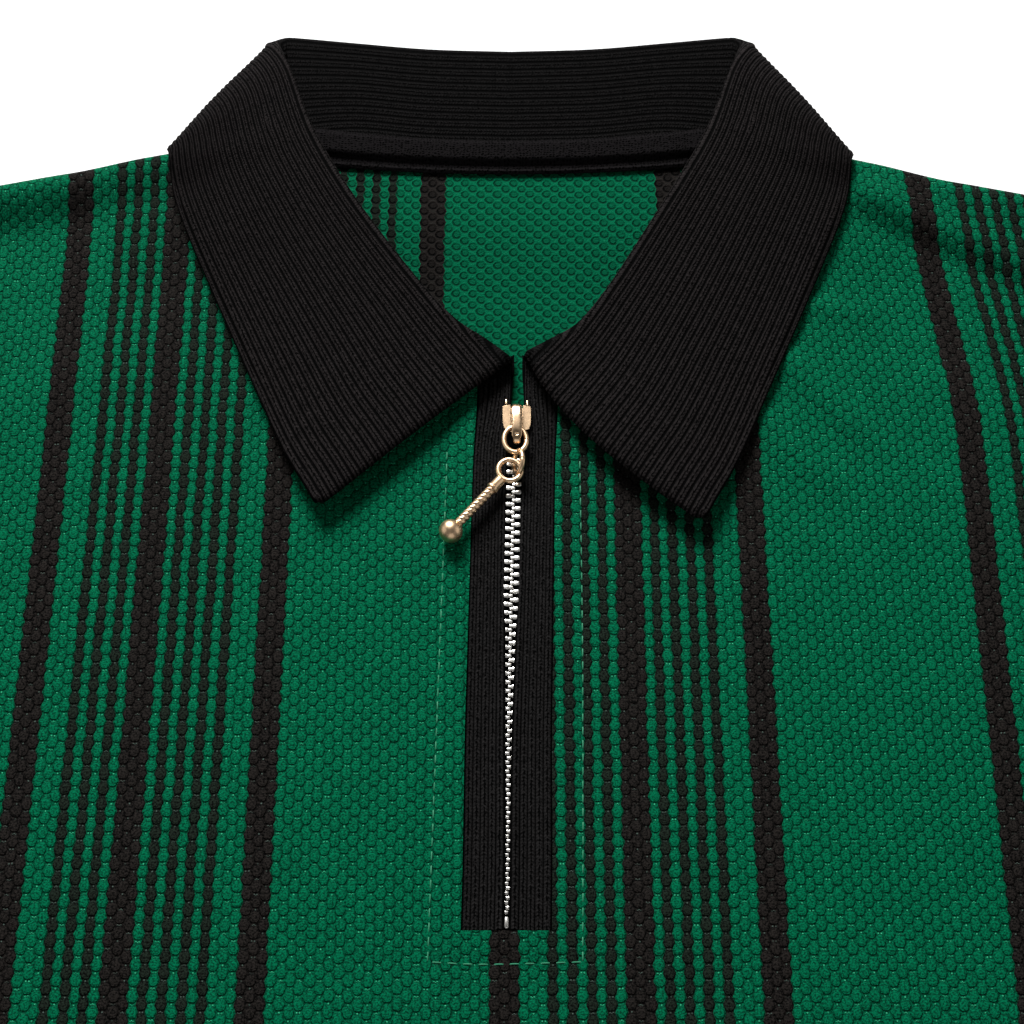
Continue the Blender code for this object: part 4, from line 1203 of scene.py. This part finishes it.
# slider, link and pull
fittings = {
    "sliderY": 32.0,
    "plate": (
        (0, 4.1), (2.0, 4.2), (3.7, 4.0), (4.6, 3.5), (4.7, 1.2),
        (4.6, -2.2), (4.2, -4.2), (3.4, -4.9), (0, -4.9),
    ),
    "upperPlate": (4.6, 7.2),
    "wingHeight": 2.0,
    "wingFrom": 2.15,
    "lowerPlate": (2.35, 3.5),
    "wedge": ((-1.6, 4.0), (1.6, 4.0), (0.5, 0.5), (-0.5, 0.5)),
    # middle line of the bridge from its foot over the link to its end: y, z, half thickness
    "bridge": (
        (34.5, 5.6, 1.3), (34.4, 8.4, 1.3), (33.6, 10.0, 1.1), (31.4, 10.9, 0.7), (28.2, 11.1, 0.6),
        (24.9, 10.95, 0.65), (22.9, 10.3, 0.8), (21.7, 9.4, 0.8), (21.3, 8.5, 0.6), (21.6, 8.0, 0.45),
    ),
    "bridgeHalf": 1.65,
    "bridgeTop": 9.6,
    "squareness": 0.45,
    # the two prongs that stand out at its upper end: where each ends, and their rings from
    # foot to tip: distance from the tip, half width, half thickness
    "prongs": ((-3.5, 6.6), (3.6, 6.3)),
    "prongZ": 6.9,
    "prongRings": (
        (2.2, 0.6, 0.55), (0.9, 0.6, 0.55), (0.4, 0.52, 0.48), (0.1, 0.3, 0.28), (0, 0.1, 0.1),
    ),
    "sliderEdge": 0.3,
    "dimple": (23.6, 0.6, 0.6),  # y, radius, depth
    "wire": 0.88,
    "linkZ": 9.2,
    "hinge": (1.75, 26.7),
    "loopHalves": (3.75, 4.6),
    "linkRing": (2.7, 14.0),
    "linkRingHalves": (3.0, 3.9),
    "linkRingTilt": 62.0,
    "ring": (-0.1, 10.8),
    "ringRadius": 3.8,
    "ball": (-19.1, -12.0),
    "ballRadius": 3.85,
    "pullRise": 0.5,
    # the plain sleeve between ring and rod: distance from the ring's middle, radius
    "neck": (
        (4.0, 1.1), (4.2, 1.5), (4.6, 1.7), (8.0, 1.75), (8.2, 1.9),
        (8.5, 2.0), (9.0, 2.0), (9.3, 1.85), (9.4, 1.1),
    ),
    "rodFrom": 9.3,
    "rodRadius": 1.6,
    "twists": 9.5,
    "strands": 3,
}


def tubeGrid(path, wide, thick, up, around):
    # rings round a path; half width across and half thickness up
    tangent = np.gradient(path, axis=0)
    tangent /= np.linalg.norm(tangent, axis=1, keepdims=True)
    side = np.cross(tangent, up)
    side /= np.linalg.norm(side, axis=1, keepdims=True)
    rise = np.cross(side, tangent)
    a = np.linspace(0, 2 * math.pi, around, endpoint=False)[None, :, None]
    wide, thick = [np.asarray(value, float).reshape(-1, 1, 1) for value in (wide, thick)]
    ring = side[:, None] * np.cos(a) * wide
    return path[:, None] + ring + rise[:, None] * np.sin(a) * thick


def addTube(bm, grid):
    rows, around = grid.shape[:2]
    places = toWorld(grid).reshape(-1, 3)
    verts = [bm.verts.new(v) for v in places]
    for i in range(rows - 1):
        for j in range(around):
            a, b = i * around + j, i * around + (j + 1) % around
            bm.faces.new((verts[a], verts[b], verts[b + around], verts[a + around]))
    # a ring closes on itself, and anything else gets its two ends
    if np.linalg.norm(places[0] - places[(rows - 1) * around]) > 1e-6:
        bm.faces.new(verts[:around][::-1])
        bm.faces.new(verts[-around:])


def addPlate(bm, outline, low, high):
    ring = [toWorld((x, y, low)) for x, y in outline]
    bottom = bm.faces.new([bm.verts.new(v) for v in ring])
    made = bmesh.ops.extrude_face_region(bm, geom=[bottom])["geom"]
    lifted = [g for g in made if isinstance(g, bmesh.types.BMVert)]
    bmesh.ops.translate(bm, verts=lifted, vec=(0, 0, (high - low) * 0.001))


def closeMesh(bm):
    bmesh.ops.remove_doubles(bm, verts=bm.verts, dist=0.000001)
    bmesh.ops.recalc_face_normals(bm, faces=bm.faces)


def ovalPath(centre, across, length, height, tilt=0.0):
    # flat oval, turned up about its long axis by the tilt in degrees
    a = np.linspace(0, 2 * math.pi, 65)
    t = math.radians(tilt)
    x, y = np.cos(a) * across, np.sin(a) * length
    return np.stack([centre[0] + x * math.cos(t), centre[1] + y, height + x * math.sin(t)], -1)


def buildSlider():
    s = fittings
    bm = bmesh.new()
    x, y = float(zipX(s["sliderY"])), s["sliderY"]
    half = spline(s["plate"], 3)
    outline = [(x + px, y + py) for px, py in half]
    outline += [(x - px, y + py) for px, py in half[-2:0:-1]]
    low, high = s["upperPlate"]
    addPlate(bm, outline, low, high - s["wingHeight"])
    for side in (-1, 1):
        wing = [(x + side * px, y + py) for px, py in half if px > s["wingFrom"]]
        wing += [(x + side * s["wingFrom"], wing[k][1]) for k in (-1, 0)]
        addPlate(bm, wing, high - s["wingHeight"] - 0.2, high)
    addPlate(bm, outline, *s["lowerPlate"])
    wedge = [(x + px, y + py) for px, py in s["wedge"]]
    addPlate(bm, wedge, s["lowerPlate"][0] + 0.3, s["upperPlate"][1] - 0.3)
    rings = np.array(s["prongRings"])
    for px, py in s["prongs"]:
        prong = np.array([(x + px, y + py - d, s["prongZ"]) for d in rings[:, 0]])
        addTube(bm, tubeGrid(prong, rings[:, 1], rings[:, 2], (0, 0, 1), 18))
    line = spline(s["bridge"], 6)
    path = np.stack([np.full(len(line), x), line[:, 0], line[:, 1]], -1)
    wide = s["bridgeHalf"] * (1 - 0.25 * smooth((line[:, 0] < 23) * (23.2 - line[:, 0])))
    grid = bridgeGrid(path, wide, line[:, 2])
    dimpleY, radius, depth = s["dimple"]
    away = np.hypot(grid[..., 0] - x, grid[..., 1] - dimpleY)
    top = grid[..., 2] > s["bridgeTop"]
    grid[..., 2] -= np.where(top, depth * np.exp(-((away / radius) ** 4)), 0)
    addTube(bm, grid)
    closeMesh(bm)
    mesh = meshFrom("slider_gold", bm)
    piece = addPiece("slider_gold", mesh, [goldPlate], "garment", ["slider"])
    roundEdges(piece, s["sliderEdge"], 55, harden=True)


def bridgeGrid(path, wide, thick):
    # rounded-rectangle rings that stay upright in the bridge's own plane
    tangent = np.gradient(path, axis=0)
    tangent /= np.linalg.norm(tangent, axis=1, keepdims=True)
    side = np.array([1.0, 0, 0])
    rise = np.cross(side, tangent)
    a = np.linspace(0, 2 * math.pi, 48, endpoint=False)[None, :, None]
    cosine, sine = [np.sign(v) * np.abs(v) ** fittings["squareness"] for v in (np.cos(a), np.sin(a))]
    ring = side * cosine * wide[:, None, None]
    return path[:, None] + ring + rise[:, None] * sine * thick[:, None, None]


def buildLink():
    s = fittings
    bm = bmesh.new()
    across, length = s["loopHalves"]
    x, y = s["hinge"]
    loop = ovalPath((x, y - length), across, length, s["linkZ"])
    addTube(bm, tubeGrid(loop, s["wire"], s["wire"], (0, 0, 1), 20))
    ring = ovalPath(s["linkRing"], *s["linkRingHalves"], s["linkZ"], s["linkRingTilt"])
    tilt = math.radians(s["linkRingTilt"])
    tilted = (math.sin(tilt), 0, -math.cos(tilt))
    addTube(bm, tubeGrid(ring, s["wire"], s["wire"], tilted, 20))
    closeMesh(bm)
    addPiece("link_gold", meshFrom("link_gold", bm), [goldCast], "link", ["link"])


def buildPull():
    s = fittings
    bm = bmesh.new()
    centre, ball = np.array(s["ring"]), np.array(s["ball"])
    length = np.linalg.norm(ball - centre)
    way = (ball - centre) / length

    def at(distance):
        distance = np.asarray(distance, float)[:, None]
        flat = centre + way * distance
        return np.hstack([flat, s["linkZ"] + s["pullRise"] * distance / length])

    ring = ovalPath(s["ring"], s["ringRadius"], s["ringRadius"], s["linkZ"])
    addTube(bm, tubeGrid(ring, s["wire"], s["wire"], (0, 0, 1), 20))
    neck = np.array(s["neck"])
    addTube(bm, tubeGrid(at(neck[:, 0]), neck[:, 1], neck[:, 1], (0, 0, 1), 28))
    # the rod is three strands twisted together
    start, stop = s["rodFrom"], length - s["ballRadius"] * 0.9
    run = np.linspace(start, stop, 170)
    around = 28
    grid = tubeGrid(at(run), 1.0, 1.0, (0, 0, 1), around)
    middle = at(run)[:, None]
    a = np.linspace(0, 2 * math.pi, around, endpoint=False)
    turn = (run - start) / (stop - start) * s["twists"] * math.pi
    strand = np.abs(np.cos((a[None, :] * s["strands"] + 2 * turn[:, None]) / 2))
    grid = middle + (grid - middle) * (s["rodRadius"] * (0.76 + 0.24 * strand**0.8))[..., None]
    addTube(bm, grid)
    centreBall = at([length])[0]
    polar = np.linspace(0.02, math.pi - 0.02, 30)
    ballPath = centreBall - np.outer(np.cos(polar) * s["ballRadius"], np.append(way, 0))
    wide = np.sin(polar) * s["ballRadius"]
    addTube(bm, tubeGrid(ballPath, wide, wide, (0, 0, 1), 48))
    closeMesh(bm)
    addPiece("pull_gold", meshFrom("pull_gold", bm), [goldCast], "pull", ["pull"])


buildSlider()
buildLink()
buildPull()
print("slider, link and pull made")

# topstitching beside the zip and across below it
stitching = {
    "pitch": 4.3,
    "length": 3.1,
    "thread": 0.24,
    # a stitch's height along its length: both ends go down into the cloth
    "rise": (-0.32, -0.05, 0.1, 0.16, 0.18, 0.16, 0.1, -0.05, -0.32),
    "left": ((-20.8, 20.0), (-21.6, -20.0), (-22.9, -80.0), (-24.3, -148.9)),
    "right": ((23.1, 18.0), (23.1, -40.0), (22.4, -100.0), (21.6, -148.9)),
    "bottom": ((-24.3, -148.9), (-10.0, -149.6), (5.0, -149.4), (21.6, -148.9)),
}


def frontSurface(x, y):
    return frontHeight(x, y) + cut["cloth"] / 2 + frontRelief(x, y)


def buildStitching():
    s = stitching
    bm = bmesh.new()
    for line in ("left", "right", "bottom"):
        curve = spline(s[line], 12)
        total = runLength(curve)[-1]
        count = int(total / s["pitch"])
        for k in range(count):
            begin = (k + 0.25) / count
            place = along(curve, np.linspace(begin, begin + s["length"] / total, len(s["rise"])))
            z = frontSurface(place[:, 0], place[:, 1]) + np.array(s["rise"])
            path = np.hstack([place, z[:, None]])
            addTube(bm, tubeGrid(path, s["thread"], s["thread"] * 0.8, (0, 0, 1), 8))
    closeMesh(bm)
    addPiece("topstitches", meshFrom("topstitches", bm), [greenThread], "garment")


buildStitching()
print("stitches made")

# floor, light and camera
studio = {
    "floor": "#f7f7f6",
    "world": 0.085,
    "key": (-0.42, 1.7, 1.4),  # metres from the garment's middle
    "keySize": 0.95,
    "keyPower": 97.0,
    # three low boxes, which the metal's edges reflect
    "boxes": {"left": (-1.7, 0.1, 0.5), "right": (1.7, 0.1, 0.5), "front": (0.1, -1.8, 0.5)},
    "boxSize": 1.7,
    "boxPower": 6.0,
    "pitch": 25.0,  # degrees from straight down
    "distance": 0.646,
    "lens": 68.84,
    "cameraX": 0.00066,
}


def buildStudio():
    s = studio
    mesh = bpy.data.meshes.new("floor")
    bm = bmesh.new()
    bmesh.ops.create_grid(bm, x_segments=1, y_segments=1, size=4.0)
    bmesh.ops.translate(bm, verts=bm.verts, vec=(0, 0, -0.0003))
    bm.to_mesh(mesh)
    bm.free()
    floor = bpy.data.objects.new("floor", mesh)
    scene.collection.objects.link(floor)
    material, tree, shader = newMaterial("matt white paper")
    shader.inputs["Base Color"].default_value = hexColor(s["floor"])
    shader.inputs["Roughness"].default_value = 0.9
    mesh.materials.append(material)
    world = bpy.data.worlds.new("studio")
    scene.world = world
    world.use_nodes = True
    background = world.node_tree.nodes["Background"]
    background.inputs["Color"].default_value = (1, 1, 1, 1)
    background.inputs["Strength"].default_value = s["world"]
    middle = Vector((0, cut["middleY"] * 0.001, 0))
    for name, place in {"key": s["key"], **s["boxes"]}.items():
        light = bpy.data.lights.new(name, "AREA")
        light.size = s["keySize" if name == "key" else "boxSize"]
        light.energy = s["keyPower" if name == "key" else "boxPower"]
        lamp = bpy.data.objects.new(name, light)
        lamp.location = middle + Vector(place)
        lamp.rotation_euler = (middle - lamp.location).to_track_quat("-Z", "Y").to_euler()
        scene.collection.objects.link(lamp)
    camera = bpy.data.cameras.new("camera")
    camera.lens = s["lens"]
    camera.sensor_width = 36.0
    viewer = bpy.data.objects.new("camera", camera)
    tilt = math.radians(s["pitch"])
    back, rise = s["distance"] * math.sin(tilt), s["distance"] * math.cos(tilt)
    viewer.location = middle + Vector((s["cameraX"], -back, rise))
    viewer.rotation_euler = (tilt, 0, 0)
    scene.collection.objects.link(viewer)
    scene.camera = viewer
    scene.view_settings.view_transform = "Standard"


buildStudio()
print("studio made")
